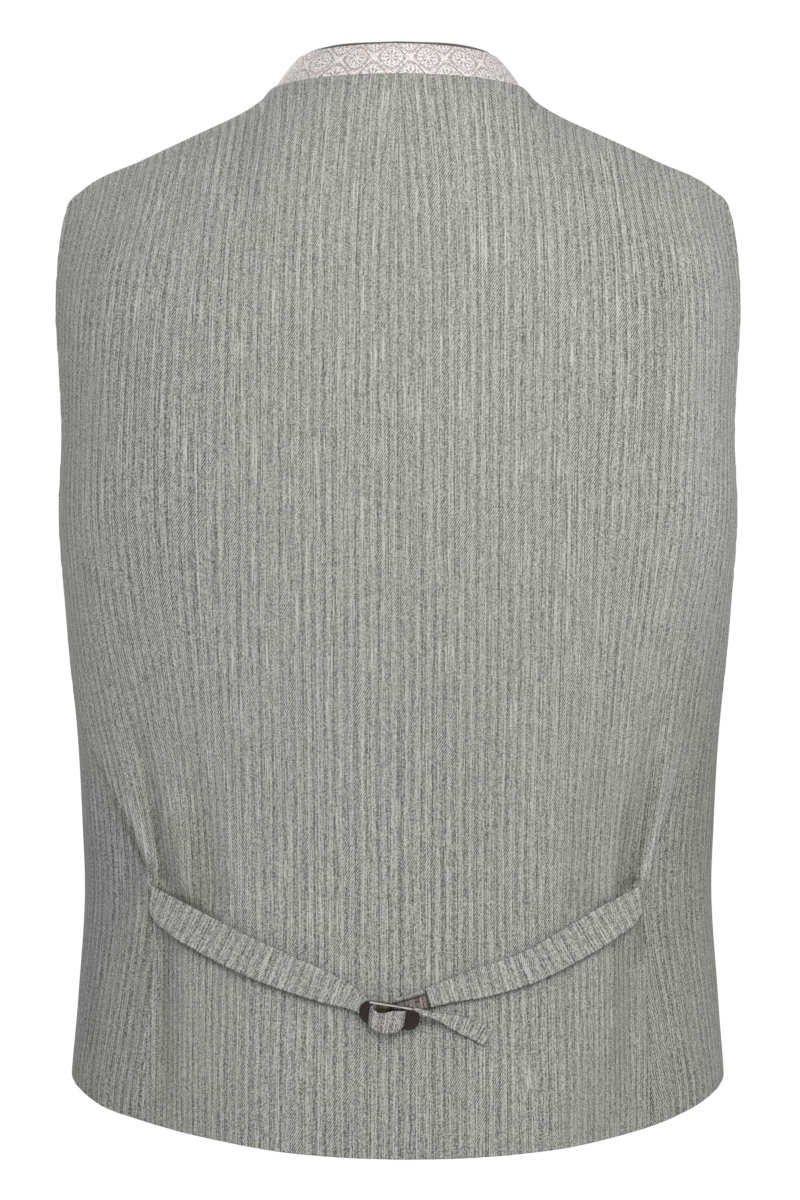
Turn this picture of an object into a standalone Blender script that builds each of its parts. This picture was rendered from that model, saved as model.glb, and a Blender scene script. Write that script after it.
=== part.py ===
"""Waistcoat as it is worn: two backs, two fronts, a stand collar and a back belt with its slide.

Metres, +Z up. The fronts face -Y and the back faces +Y, so +X is the wearer's left. The origin is
the middle of the neck at shoulder height, where the wearer's shoulders carry the garment.

Each panel is a wall. Its outer face comes from sections round the body, read from the short tables
below, and is drawn out into folds; its inner face lies one wall thickness inside.
"""

import math
from collections import namedtuple

import bpy
import numpy as np
from mathutils.bvhtree import BVHTree

# ---- Cloth ---------------------------------------------------------------------------------------
WALL = 0.0020  # panels: cloth, interlining and turnings
COLLAR_WALL = 0.0016
LINING_WALL = 0.0012
BELT_WALL = 0.0020
GAP = 0.0003  # between pieces at a seam
LIE_GAP = 0.0006  # under what lies loose on a panel

# ---- Body of the garment ---------------------------------------------------------------------------
SQUARENESS = 2.3  # exponent of the sections; 2 would be an ellipse
COLUMN_CROWDING = 0.25  # how much a panel's columns draw together toward its side
SEAM_REACH = 0.185  # from the axis to the side seams
CENTRE_SPREAD = 0.20  # width of a back panel at the rate its columns have at the centre
Section = namedtuple("Section", "height half_width back front seam_angle")
SECTIONS = (
    Section(-0.600, 0.1845, 0.1190, 0.1270, 33.0),
    Section(-0.560, 0.1846, 0.1175, 0.1260, 32.0),
    Section(-0.515, 0.1810, 0.1110, 0.1220, 30.5),
    Section(-0.450, 0.1770, 0.1020, 0.1170, 28.0),
    Section(-0.416, 0.1783, 0.1020, 0.1175, 24.5),
    Section(-0.377, 0.1805, 0.1055, 0.1200, 15.5),
    Section(-0.345, 0.1832, 0.1100, 0.1230, 7.0),
    Section(-0.311, 0.1866, 0.1145, 0.1255, 0.0),
    Section(-0.288, 0.1885, 0.1170, 0.1265, -4.0),
    Section(-0.243, 0.1920, 0.1200, 0.1275, -4.0),
    Section(-0.192, 0.1908, 0.1215, 0.1275, -4.0),
    Section(-0.150, 0.1935, 0.1215, 0.1275, -4.0),
    Section(-0.120, 0.1965, 0.1215, 0.1275, -4.0),
    Section(-0.080, 0.1990, 0.1215, 0.1275, -4.0),
    Section(0.000, 0.2000, 0.1215, 0.1275, -4.0),
)

# The hem's height by direction: 90 is the centre back, 0 the side and -90 the centre front. The
# right half hangs a little lower behind.
HemPoint = namedtuple("HemPoint", "angle left right")
HEM = (
    HemPoint(-90.0, -0.5560, -0.5560),
    HemPoint(-78.0, -0.5690, -0.5690),
    HemPoint(-68.0, -0.5835, -0.5835),
    HemPoint(-61.0, -0.5880, -0.5880),
    HemPoint(-53.0, -0.5850, -0.5850),
    HemPoint(-40.0, -0.5710, -0.5710),
    HemPoint(-20.0, -0.5575, -0.5575),
    HemPoint(0.0, -0.5535, -0.5535),
    HemPoint(14.5, -0.5606, -0.5612),
    HemPoint(23.0, -0.5672, -0.5678),
    HemPoint(31.0, -0.5713, -0.5737),
    HemPoint(42.0, -0.5773, -0.5801),
    HemPoint(50.0, -0.5809, -0.5836),
    HemPoint(60.0, -0.5845, -0.5860),
    HemPoint(75.0, -0.5873, -0.5880),
    HemPoint(90.0, -0.5884, -0.5884),
)

# The armhole's edge, from the underarm (rise 0) to the end of the shoulder seam (rise 1).
UNDERARM = -0.288
ArmholePoint = namedtuple("ArmholePoint", "rise height back_angle front_angle")
ARMHOLE = (
    ArmholePoint(0.00, UNDERARM, -4.0, -4.0),
    ArmholePoint(0.02, -0.2875, -0.8, -8.0),
    ArmholePoint(0.06, -0.2840, 2.0, -13.0),
    ArmholePoint(0.12, -0.2745, 3.8, -18.0),
    ArmholePoint(0.20, -0.2560, 4.9, -22.5),
    ArmholePoint(0.32, -0.2270, 5.4, -26.0),
    ArmholePoint(0.50, -0.1840, 5.4, -28.0),
    ArmholePoint(0.65, -0.1490, 5.2, -27.5),
    ArmholePoint(0.80, -0.1130, 4.9, -23.0),
    ArmholePoint(0.90, -0.0880, 4.6, -18.0),
    ArmholePoint(1.00, -0.0610, 4.2, -13.0),
)

# The shoulder line as seen from behind: it falls steeply at the neck, evenly along the shoulder,
# and rounds over at the tip.
ShoulderPoint = namedtuple("ShoulderPoint", "across height")
SHOULDER = (
    ShoulderPoint(0.0600, 0.0000),
    ShoulderPoint(0.0710, 0.0000),
    ShoulderPoint(0.0771, -0.0056),
    ShoulderPoint(0.0845, -0.0108),
    ShoulderPoint(0.0941, -0.0158),
    ShoulderPoint(0.1069, -0.0215),
    ShoulderPoint(0.1443, -0.0385),
    ShoulderPoint(0.1794, -0.0555),
    ShoulderPoint(0.1865, -0.0620),
    ShoulderPoint(0.1916, -0.0725),
    ShoulderPoint(0.1985, -0.0950),
)
SHOULDER_TIP = 0.1855
SHOULDER_SEAM = -0.004  # depth of the shoulder seam
NECK_HALF_WIDTH = 0.071
NECK_DIP = 1.5  # how sharply the front of the neck dips at its centre
NECK_COLUMN = 0.40  # share of a panel's width, at the top, that goes to the neck
LAP_COLUMN = 0.058  # how far a front runs past the centre front, as a share of its width: 16 mm
LAP_FADING = (1.1, 2.0)  # where the lower front comes back up beside the lap, in laps

# swell is how late the panel leaves the body's section for the neck, and roll_start is the column
# from which it rolls over the shoulder instead.
Face = namedtuple("Face", "turn neck_depth neck_height swell roll_start")
BACK = Face(turn=1, neck_depth=0.078, neck_height=0.000, swell=3.3, roll_start=-0.15)
FRONT = Face(turn=-1, neck_depth=-0.062, neck_height=-0.072, swell=4.0, roll_start=0.08)
ROLL_SPAN = 0.70
SHOULDER_SWELL = 3.0
SHOULDER_ROUNDING = 2.5
CORNER_SOFTNESS = 0.45  # share of a panel over which the neck's corner is smoothed away below it
SOFTENING = ((-1.0, 1 / 16), (-0.5, 4 / 16), (0.0, 6 / 16), (0.5, 4 / 16), (1.0, 1 / 16))

# Soft ridges (+) and troughs (-) in the cloth, from one end to the other, as seen from behind.
FOLD_FADING = 0.75  # of its depth, by its far end
BACK_TO_FRONT = (-0.020, 0.030)  # depths between which the back's folds give way to the front's
Fold = namedtuple("Fold", "side x0 z0 x1 z1 width depth")
FOLDS = (
    Fold("back", 0.134, -0.446, 0.152, -0.335, 0.0085, -0.0030),
    Fold("back", 0.116, -0.440, 0.140, -0.350, 0.0090, 0.0022),
    Fold("back", 0.098, -0.442, 0.118, -0.372, 0.0085, -0.0018),
    Fold("back", 0.148, -0.456, 0.140, -0.520, 0.0080, 0.0026),
    Fold("back", 0.122, -0.470, 0.116, -0.560, 0.0110, -0.0022),
    Fold("back", 0.060, -0.525, 0.066, -0.588, 0.0130, 0.0018),
    Fold("back", -0.134, -0.446, -0.156, -0.350, 0.0080, -0.0034),
    Fold("back", -0.122, -0.440, -0.145, -0.352, 0.0080, 0.0026),
    Fold("back", -0.106, -0.442, -0.128, -0.366, 0.0085, -0.0020),
    Fold("back", -0.152, -0.460, -0.146, -0.530, 0.0085, 0.0026),
    Fold("back", -0.126, -0.474, -0.118, -0.566, 0.0110, -0.0022),
    Fold("back", -0.050, -0.530, -0.058, -0.588, 0.0130, 0.0016),
    Fold("front", 0.150, -0.300, 0.120, -0.420, 0.0140, -0.0026),
    Fold("front", 0.126, -0.450, 0.112, -0.560, 0.0140, 0.0024),
    Fold("front", -0.152, -0.305, -0.118, -0.430, 0.0140, -0.0028),
    Fold("front", -0.124, -0.460, -0.116, -0.560, 0.0140, 0.0022),
)

# ---- Collar ------------------------------------------------------------------------------------------
# The direction runs round the neck: 0 is the centre back, 90 the shoulder and 180 the centre front.
CollarPoint = namedtuple("CollarPoint", "direction lean follow height")
COLLAR = (
    CollarPoint(0.0, 24.0, 0.0, 0.0196),
    CollarPoint(60.0, 33.0, 0.1, 0.0208),
    CollarPoint(90.0, 37.0, 0.3, 0.0215),
    CollarPoint(130.0, 20.0, 0.6, 0.0215),
    CollarPoint(173.0, 10.0, 0.6, 0.0205),
)
COLLAR_END = 173.0  # direction of the collar's front ends
COLLAR_CORNER = 0.008
LINING_RISE = 0.0012  # how far the inner collar stands above the outer
COLLAR_CROWDING = 0.2  # how much the bands' columns draw together toward their ends
COLLAR_COLUMNS = 48
COLLAR_ROWS = 3

# ---- Belt ---------------------------------------------------------------------------------------------
# Each strap from its seam to the slide: where its middle runs on the back, its width and its lift,
# and how far the line across it stands upright, as at the seam, and not square to the strap.
BeltPoint = namedtuple("BeltPoint", "across height width lift upright")
BELT_LEFT = (
    BeltPoint(0.1350, -0.4518, 0.0185, 0.0000, 0.8),
    BeltPoint(0.1190, -0.4620, 0.0207, 0.0004, 0.2),
    BeltPoint(0.0858, -0.4789, 0.0207, 0.0008, 0.0),
    BeltPoint(0.0639, -0.4882, 0.0195, 0.0010, 0.0),
    BeltPoint(0.0421, -0.4962, 0.0172, 0.0008, 0.0),
    BeltPoint(0.0313, -0.5003, 0.0145, 0.0010, 0.0),
    BeltPoint(0.0235, -0.5038, 0.0112, 0.0016, 0.0),
    BeltPoint(0.0162, -0.5088, 0.0078, 0.0022, 0.0),
)
BELT_RIGHT = (
    BeltPoint(-0.1320, -0.4520, 0.0180, 0.0000, 0.8),
    BeltPoint(-0.1190, -0.4604, 0.0205, 0.0004, 0.2),
    BeltPoint(-0.0880, -0.4782, 0.0192, 0.0008, 0.0),
    BeltPoint(-0.0661, -0.4884, 0.0178, 0.0010, 0.0),
    BeltPoint(-0.0443, -0.4948, 0.0162, 0.0008, 0.0),
    BeltPoint(-0.0334, -0.4976, 0.0138, 0.0006, 0.0),
    BeltPoint(-0.0226, -0.5007, 0.0116, 0.0008, 0.0),
    BeltPoint(-0.0150, -0.5030, 0.0106, 0.0010, 0.0),
    BeltPoint(-0.0060, -0.5048, 0.0081, 0.0016, 0.0),
    BeltPoint(0.0030, -0.5065, 0.0050, 0.0030, 0.0),
)
BELT_TAIL = (
    BeltPoint(-0.0045, -0.5127, 0.0048, 0.0020, 0.0),
    BeltPoint(-0.0120, -0.5126, 0.0042, 0.0017, 0.0),
    BeltPoint(-0.0185, -0.5132, 0.0042, 0.0014, 0.0),
    BeltPoint(-0.0250, -0.5145, 0.0058, 0.0010, 0.0),
    BeltPoint(-0.0330, -0.5170, 0.0082, 0.0006, 0.0),
    BeltPoint(-0.0400, -0.5198, 0.0095, 0.0003, 0.0),
    BeltPoint(-0.0470, -0.5228, 0.0098, 0.0002, 0.0),
)
BELT_STATIONS = 27
TAIL_STATIONS = 13
BELT_LINES = 5  # points across a strap

# ---- Slide, and the loop of strap over its bar ----------------------------------------------------------
BUCKLE_MIDDLE = (0.0045, -0.5119)  # across, height
BUCKLE_TURN = math.radians(9.5)
BUCKLE_TILT = math.radians(18)  # its upper edge stands further off the back
BUCKLE_LIFT = 0.0062  # of its middle above the back
BUCKLE_WALL = 0.0012
Opening = namedtuple("Opening", "length width corner")
BUCKLE_OUTSIDE = Opening(0.0328, 0.0130, 0.0060)
BUCKLE_INSIDE = Opening(0.0224, 0.0096, 0.0030)
BUCKLE_STEPS = 6  # on each corner
BUCKLE_BAR = 0.0008  # radius along the slide
BAR_FLATNESS = 0.6
BAR_SIDES = 8
# Where the strap runs in the slide's own directions: up through one slot, over the bar and down
# through the other. It sags between top and bottom in front of the lower edge.
LoopPoint = namedtuple("LoopPoint", "along out top bottom")
LOOP = (
    LoopPoint(0.0098, -0.0022, 0.0036, -0.0034),
    LoopPoint(0.0096, 0.0000, 0.0037, -0.0038),
    LoopPoint(0.0083, 0.0022, 0.0034, -0.0048),
    LoopPoint(0.0050, 0.0030, 0.0018, -0.0088),
    LoopPoint(0.0010, 0.0033, 0.0010, -0.0099),
    LoopPoint(-0.0032, 0.0030, 0.0016, -0.0088),
    LoopPoint(-0.0061, 0.0022, 0.0026, -0.0048),
    LoopPoint(-0.0073, 0.0000, 0.0033, -0.0038),
    LoopPoint(-0.0078, -0.0022, 0.0035, -0.0030),
)
LOOP_WALL = 0.0012
LOOP_STATIONS = 17
LOOP_LINES = 6

# ---- Buttons ----------------------------------------------------------------------------------------------
BUTTON_COUNT = 7
BUTTON_TOP = -0.092
BUTTON_BOTTOM = -0.528
BUTTON_SIDES = 16
ButtonRing = namedtuple("ButtonRing", "radius out")
BUTTON_PROFILE = (
    ButtonRing(0.0070, 0.0000),
    ButtonRing(0.0088, 0.0010),
    ButtonRing(0.0088, 0.0022),
    ButtonRing(0.0076, 0.0031),
    ButtonRing(0.0058, 0.0022),
)

# ---- How finely the walls are divided ---------------------------------------------------------------------
BACK_COLUMNS = 24
FRONT_COLUMNS = 20
LOWER_ROWS = 14
UPPER_ROWS = 16
LAP_COLUMNS = 2
SLOPE_STEP = 1e-4  # between the points that a slope is taken from
SHARP_ANGLE = math.radians(40)


def smooth(knots, values, at):
    """Reads a table at any place: cubic pieces whose slope at a knot comes from its neighbours."""
    knots, values = np.asarray(knots, float), np.asarray(values, float)
    at = np.clip(at, knots[0], knots[-1])
    slopes = np.gradient(values, knots)
    i = np.clip(np.searchsorted(knots, at, side="right") - 1, 0, len(knots) - 2)
    span = knots[i + 1] - knots[i]
    u = (at - knots[i]) / span
    start = (1 + 2 * u) * (1 - u) ** 2 * values[i] + u * (1 - u) ** 2 * span * slopes[i]
    end = u**2 * (3 - 2 * u) * values[i + 1] - u**2 * (1 - u) * span * slopes[i + 1]
    return start + end


def read(table, key, column, at):
    """One named column of a table, read smoothly along another."""
    return smooth([getattr(row, key) for row in table], [getattr(row, column) for row in table], at)


def ease(low, high, value):
    """0 below low, 1 above high, and a smooth rise between."""
    u = np.clip((value - low) / (high - low), 0, 1)
    return u * u * (3 - 2 * u)


def section(angle, height):
    """The garment's outline at a height, as x and y of the point in one direction from its axis."""
    half_width = read(SECTIONS, "height", "half_width", height)
    depth = np.where(
        angle >= 0,
        read(SECTIONS, "height", "back", height),
        read(SECTIONS, "height", "front", height),
    )
    across, along = np.cos(angle), np.sin(angle)
    reach = (np.abs(across / half_width) ** SQUARENESS + np.abs(along / depth) ** SQUARENESS) ** (
        -1 / SQUARENESS
    )
    return reach * across, reach * along


def neck_point(turn, face):
    """The neck seam of the left half: turn is 0 at the centre and 90 degrees at the shoulder."""
    seam = SHOULDER_SEAM + face.turn * GAP / 2
    x = NECK_HALF_WIDTH * np.sin(turn)
    y = seam + (face.neck_depth - seam) * np.cos(turn)
    z = face.neck_height * np.abs(np.cos(turn)) ** NECK_DIP
    return x, y, z


def top_edge(across, face):
    """The panel's top edge: the neck seam, then the shoulder seam."""
    neck = neck_point(math.pi / 2 * np.clip(across / NECK_COLUMN, -1, 1), face)
    share = (across - NECK_COLUMN) / (1 - NECK_COLUMN)
    x = NECK_HALF_WIDTH + (SHOULDER_TIP - NECK_HALF_WIDTH) * share
    seam = SHOULDER_SEAM + face.turn * GAP / 2
    shoulder = (x, seam, shoulder_line(x))
    return [np.where(across <= NECK_COLUMN, *pair) for pair in zip(neck, shoulder)]


def top_point(across, up, face):
    """Where a column is heading: the top edge, smoothed round its corner the further below it."""
    softness = CORNER_SOFTNESS * (1 - up)
    total = 0
    for step, weight in SOFTENING:
        total = total + weight * np.stack(top_edge(across + softness * step, face))
    return total


def column_angle(across, edge_angle, face):
    """The direction of a panel's column: its centre line at 0, its side seam or armhole at 1."""
    centre = face.turn * math.pi / 2
    return centre + (edge_angle - centre) * (
        (1 + COLUMN_CROWDING) * across - COLUMN_CROWDING * across**2
    )


def lower_panel(across, up, face, hem_side):
    """The panel from its hem (up 0) to the underarm (up 1)."""
    seam_gap = -face.turn * GAP / 2 / SEAM_REACH
    hem_edge = np.radians(SECTIONS[0].seam_angle) - seam_gap
    hem_angle = column_angle(across, hem_edge, face)
    hem = read(HEM, "angle", hem_side, np.degrees(hem_angle))
    height = hem + (UNDERARM - hem) * up
    edge = np.radians(read(SECTIONS, "height", "seam_angle", height)) - seam_gap
    x, y = section(column_angle(across, edge, face), height)
    return np.stack(np.broadcast_arrays(x, y, height), axis=-1)


def upper_panel(across, up, face):
    """The panel from the underarm (up 0) to the neck and shoulder seams (up 1)."""
    seam_gap = -face.turn * GAP / 2 / SEAM_REACH
    column = "back_angle" if face.turn > 0 else "front_angle"
    edge = np.radians(read(ARMHOLE, "rise", column, up)) - seam_gap
    edge_rise = (read(ARMHOLE, "rise", "height", up) - UNDERARM) / (ARMHOLE[-1].height - UNDERARM)
    rise = up + (edge_rise - up) * across**2
    top_x, top_y, top_z = top_point(across, up, face)
    height = UNDERARM + (top_z - UNDERARM) * rise
    x, y = section(column_angle(across, edge, face), height)
    to_shoulder = ease(face.roll_start, face.roll_start + ROLL_SPAN, across)
    swell = face.swell + (SHOULDER_SWELL - face.swell) * to_shoulder
    rounding = 1 + (SHOULDER_ROUNDING - 1) * to_shoulder
    keep = np.clip(1 - up**swell, 0, 1) ** (1 / rounding)
    x = top_x + (x - top_x) * keep
    y = top_y + (y - top_y) * keep
    start_edge = np.radians(ARMHOLE[0].back_angle) - seam_gap
    start_x = section(column_angle(across, start_edge, face), UNDERARM)[0]
    line = (1 - rise) * shoulder_line(start_x) + rise * shoulder_line(top_x)
    height = height + (shoulder_line(x) - line) * up**3
    return np.stack(np.broadcast_arrays(x, y, height), axis=-1)


def shoulder_line(across):
    """Height of the shoulder, as seen from behind, at a distance from the centre."""
    return read(SHOULDER, "across", "height", np.abs(across))


def panel_points(across, up, face, hem_side):
    """The left panel's plain outer face: up runs from 0 at the hem, by 1 at the underarm, to 2.

    Past the centre line, where across is negative, it is the mirror of the other side.
    """
    across, up = np.asarray(across)[None, :], np.asarray(up)[:, None]
    lower = lower_panel(np.abs(across), np.clip(up, -1, 1), face, hem_side)
    upper = upper_panel(np.abs(across), np.clip(up - 1, 0, 1), face)
    points = np.where(up[..., None] <= 1, lower, upper)
    points[..., 0] *= np.where(across < 0, -1, 1)
    return points


def unit(vectors):
    return vectors / np.linalg.norm(vectors, axis=-1, keepdims=True)


def panel_normals(across, up, face, hem_side):
    """Outward directions of the panel's face, from its slopes along and across."""
    across, up = np.asarray(across), np.asarray(up)
    side = (face, hem_side)
    low, high = np.clip(up - SLOPE_STEP, 0, 2), np.clip(up + SLOPE_STEP, 0, 2)
    rising = panel_points(across, high, *side) - panel_points(across, low, *side)
    near, far = across - SLOPE_STEP, across + SLOPE_STEP
    widening = panel_points(far, up, *side) - panel_points(near, up, *side)
    return unit(np.cross(widening, rising)) * -face.turn


def fold_depth(points):
    """How far the folds draw the cloth out, or in where negative, at each point."""
    total = np.zeros(points.shape[:-1])
    flat = points[..., [0, 2]]
    behind = ease(*BACK_TO_FRONT, points[..., 1])
    for fold in FOLDS:
        start, end = np.array([fold.x0, fold.z0]), np.array([fold.x1, fold.z1])
        along = (flat - start) @ (end - start) / np.sum((end - start) ** 2)
        nearest = start + np.clip(along, 0, 1)[..., None] * (end - start)
        distance = np.linalg.norm(flat - nearest, axis=-1)
        fading = 1 - FOLD_FADING * np.clip(along, 0, 1)
        share = behind if fold.side == "back" else 1 - behind
        total += fold.depth * share * fading * np.exp(-((distance / fold.width) ** 2))
    return total


def back_face(across, height):
    """The plain back, without its folds: points at these places and their outward directions."""

    def plain(x, z):
        half_width = read(SECTIONS, "height", "half_width", z)
        back = read(SECTIONS, "height", "back", z)
        y = back * (1 - np.abs(x / half_width) ** SQUARENESS) ** (1 / SQUARENESS)
        return np.stack(np.broadcast_arrays(x, y, z), axis=-1)

    wide = plain(across + SLOPE_STEP, height) - plain(across - SLOPE_STEP, height)
    rise = plain(across, height + SLOPE_STEP) - plain(across, height - SLOPE_STEP)
    return plain(across, height), unit(np.cross(rise, wide))


def lie_on(cloth, points, out, lift):
    """Moves points onto the cloth's own faces, then off them by a distance."""
    flat = points.reshape(-1, 3)
    nearest = np.array([cloth.find_nearest(point)[0] for point in flat.tolist()])
    return nearest.reshape(points.shape) + out * np.asarray(lift)[..., None]


def finish(name, colour, roughness, metallic=0.0):
    """A material with a colour, roughness and metallic value."""
    material = bpy.data.materials.new(name)
    material.use_nodes = True
    shader = material.node_tree.nodes["Principled BSDF"]
    shader.inputs["Base Color"].default_value = (*colour, 1.0)
    shader.inputs["Roughness"].default_value = roughness
    shader.inputs["Metallic"].default_value = metallic
    return material


def add_object(name, points, faces, material):
    """A named object from points and faces, turned so that its faces point outward."""
    points = np.asarray(points, float)
    centre = points.mean(axis=0)
    volume = 0.0
    for face in faces:
        for second, third in zip(face[1:-1], face[2:]):
            corners = points[[face[0], second, third]] - centre
            volume += np.linalg.det(corners)
    if volume < 0:
        faces = [face[::-1] for face in faces]
    mesh = bpy.data.meshes.new(name)
    mesh.from_pydata(points.tolist(), [], faces)
    mesh.materials.append(material)
    mesh.shade_smooth()
    mesh.set_sharp_from_angle(angle=SHARP_ANGLE)
    made = bpy.data.objects.new(name, mesh)
    bpy.context.scene.collection.objects.link(made)
    return made


def grid_cells(index):
    """The four-cornered faces between the rows and columns of a grid of point numbers."""
    corners = (index[:-1, :-1], index[:-1, 1:], index[1:, 1:], index[1:, :-1])
    return np.stack([corner.ravel() for corner in corners], axis=1)


def wall(name, outer, inner, material):
    """A closed wall between two grids of points: the faces, and a rim round the four edges."""
    rows, columns = outer.shape[:2]
    count = rows * columns
    index = np.arange(count).reshape(rows, columns)
    rim = np.concatenate([index[0, :-1], index[:-1, -1], index[-1, :0:-1], index[:0:-1, 0]])
    after = np.roll(rim, -1)
    edges = np.stack([rim, rim + count, after + count, after], axis=1).tolist()
    inside = grid_cells(index + count)[:, ::-1].tolist()
    points = np.concatenate([outer.reshape(-1, 3), inner.reshape(-1, 3)])
    return add_object(name, points, grid_cells(index).tolist() + inside + edges, material)


def row_places():
    """Rows from the hem to the shoulder, closer at the underarm and where the shoulder rounds over."""
    lower = np.linspace(0, 1, LOWER_ROWS + 1)
    upper = 1.5 - 0.5 * np.cos(np.linspace(0, math.pi, UPPER_ROWS + 1)[1:])
    return np.concatenate([lower, upper])


def column_places(columns, face):
    """Columns from the centre to the side, with one on the neck's corner."""
    neck = round(columns * NECK_COLUMN)
    places = np.concatenate(
        [np.linspace(0, NECK_COLUMN, neck + 1), np.linspace(NECK_COLUMN, 1, columns - neck + 1)[1:]]
    )
    if face is BACK:
        places[0] = GAP / 2 / CENTRE_SPREAD  # half the gap of the centre-back seam
        return places
    return np.concatenate([np.linspace(-LAP_COLUMN, 0, LAP_COLUMNS + 1)[:-1], places])


def grid_tree(grids):
    """A search tree over the faces of several grids of points."""
    points, faces, count = [], [], 0
    for grid in grids:
        size = grid.shape[0] * grid.shape[1]
        faces.append(grid_cells(count + np.arange(size).reshape(grid.shape[:2])))
        points.append(grid.reshape(-1, 3))
        count += size
    return BVHTree.FromPolygons(np.concatenate(points).tolist(), np.concatenate(faces).tolist())


def make_panel(name, face, side, columns, material):
    """One back or front; side is 1 on the wearer's left and -1 on the right. Gives its outer face."""
    across, up = column_places(columns, face), row_places()
    hem_side = "left" if side > 0 else "right"
    points = panel_points(across, up, face, hem_side)
    out = panel_normals(across, up, face, hem_side)
    mirror = np.array([side, 1, 1])
    points, out = points * mirror, out * mirror
    depth = fold_depth(points)
    if face is FRONT and side < 0:
        beside = ease(LAP_FADING[0] * LAP_COLUMN, LAP_FADING[1] * LAP_COLUMN, across)
        depth = depth - (WALL + LIE_GAP) * (1 - beside)
    outer = points + out * depth[..., None]
    wall(name, outer, outer - out * WALL, material)
    return outer


def collar_frame(direction):
    """The neck seam at directions in degrees (plus on the left), with the way the collar rises."""

    def seam(at):
        back = np.stack(neck_point(np.radians(np.minimum(np.abs(at), 90)), BACK), axis=-1)
        front = np.stack(neck_point(np.radians(180 - np.maximum(np.abs(at), 90)), FRONT), axis=-1)
        points = np.where(np.abs(at)[:, None] <= 90, back, front)
        points[:, 0] *= np.where(at < 0, -1, 1)
        return points

    around = np.abs(direction)
    step = 1.0
    tangent = unit(seam(direction + step) - seam(direction - step))
    inward = unit(np.cross(tangent, [0, 0, 1]))
    inward = inward * np.where(np.sum(inward * seam(direction), axis=-1) > 0, -1, 1)[:, None]
    follow = read(COLLAR, "direction", "follow", around)
    upward = unit(np.array([0, 0, 1]) - tangent * (follow * tangent[:, 2])[:, None])
    lean = np.radians(read(COLLAR, "direction", "lean", around))[:, None]
    rise = upward * np.cos(lean) + inward * np.sin(lean)
    out = unit(np.cross(rise, tangent))
    out = out * np.where(np.sum(out * inward, axis=-1) > 0, -1, 1)[:, None]
    return seam(direction), rise, out


def make_collar_band(name, inset, thickness, taller, material):
    """A band round the neck, from end to end, that starts a distance inside the seam."""
    even = np.linspace(-1, 1, COLLAR_COLUMNS + 1)
    places = COLLAR_END * ((1 + COLLAR_CROWDING) * even - COLLAR_CROWDING * even**5)
    base, rise, out = collar_frame(places)
    height = read(COLLAR, "direction", "height", np.abs(places)) + taller
    steps = np.linalg.norm(np.diff(base, axis=0), axis=-1)
    run = np.concatenate([[0], np.cumsum(steps)])
    to_end = np.minimum(run, run[-1] - run)
    short = np.clip(1 - to_end / COLLAR_CORNER, 0, 1)
    height = height - COLLAR_CORNER * (1 - np.sqrt(1 - short**2))
    up = np.linspace(0, 1, COLLAR_ROWS + 1)[:, None, None]
    base = base - out * inset + rise * LIE_GAP
    outer = base + rise * (height[:, None] * up)
    wall(name, outer, outer - out * thickness, material)


def make_strap(name, table, stations, cloth, material):
    """A strap that lies on the back, along the middle line of its table."""
    knots = np.arange(len(table))
    at = np.linspace(0, len(table) - 1, stations)
    columns = zip(*table)
    x, z, width, lift, upright = (smooth(knots, column, at) for column in columns)
    along = unit(np.stack([np.gradient(x), np.gradient(z)], axis=-1))
    share = np.linspace(-0.5, 0.5, BELT_LINES)
    line_x = x[:, None] - along[:, 1:] * (width * (1 - upright))[:, None] * share
    line_z = z[:, None] + along[:, :1] * width[:, None] * share
    plain, out = back_face(line_x, line_z)
    under = lie_on(cloth, plain, out, LIE_GAP + lift[:, None])
    wall(name, under, under + out * BELT_WALL, material)


def buckle_frame():
    """The slide's middle on the back, and its directions along, across and out."""
    x, z = BUCKLE_MIDDLE
    points, normals = back_face(np.array([x]), np.array([z]))
    normal = normals[0]
    along = np.array([math.cos(BUCKLE_TURN), 0, math.sin(BUCKLE_TURN)])
    along = unit(along - normal * (along @ normal))
    upright = np.cross(along, normal)
    upward = upright * math.cos(BUCKLE_TILT) + normal * math.sin(BUCKLE_TILT)
    out = normal * math.cos(BUCKLE_TILT) - upright * math.sin(BUCKLE_TILT)
    return points[0] + normal * BUCKLE_LIFT, np.stack([along, upward, out])


def rounded_outline(opening):
    """Points round a rectangle with rounded corners, as along and across."""
    corner = opening.corner
    ends = (opening.length / 2 - corner, opening.width / 2 - corner)
    points = []
    for side_along, side_across, start in ((1, 1, 0), (-1, 1, 90), (-1, -1, 180), (1, -1, 270)):
        turn = np.radians(start + 90 * np.linspace(0, 1, BUCKLE_STEPS + 1))
        along = side_along * ends[0] + corner * np.cos(turn)
        across = side_across * ends[1] + corner * np.sin(turn)
        points.append(np.stack([along, across], axis=-1))
    return np.concatenate(points)


def ring_solid(name, rings, capped, material):
    """A solid from rings of points: joined on into a hoop, or closed at its two ends."""
    count, around = rings.shape[:2]
    index = np.arange(count * around).reshape(count, around)
    index = np.concatenate([index, index[:, :1]], axis=1)
    if not capped:
        index = np.concatenate([index, index[:1]])
    faces = grid_cells(index).tolist()
    if capped:
        faces += [index[0, -2::-1].tolist(), index[-1, :-1].tolist()]
    return add_object(name, rings.reshape(-1, 3), faces, material)


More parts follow.
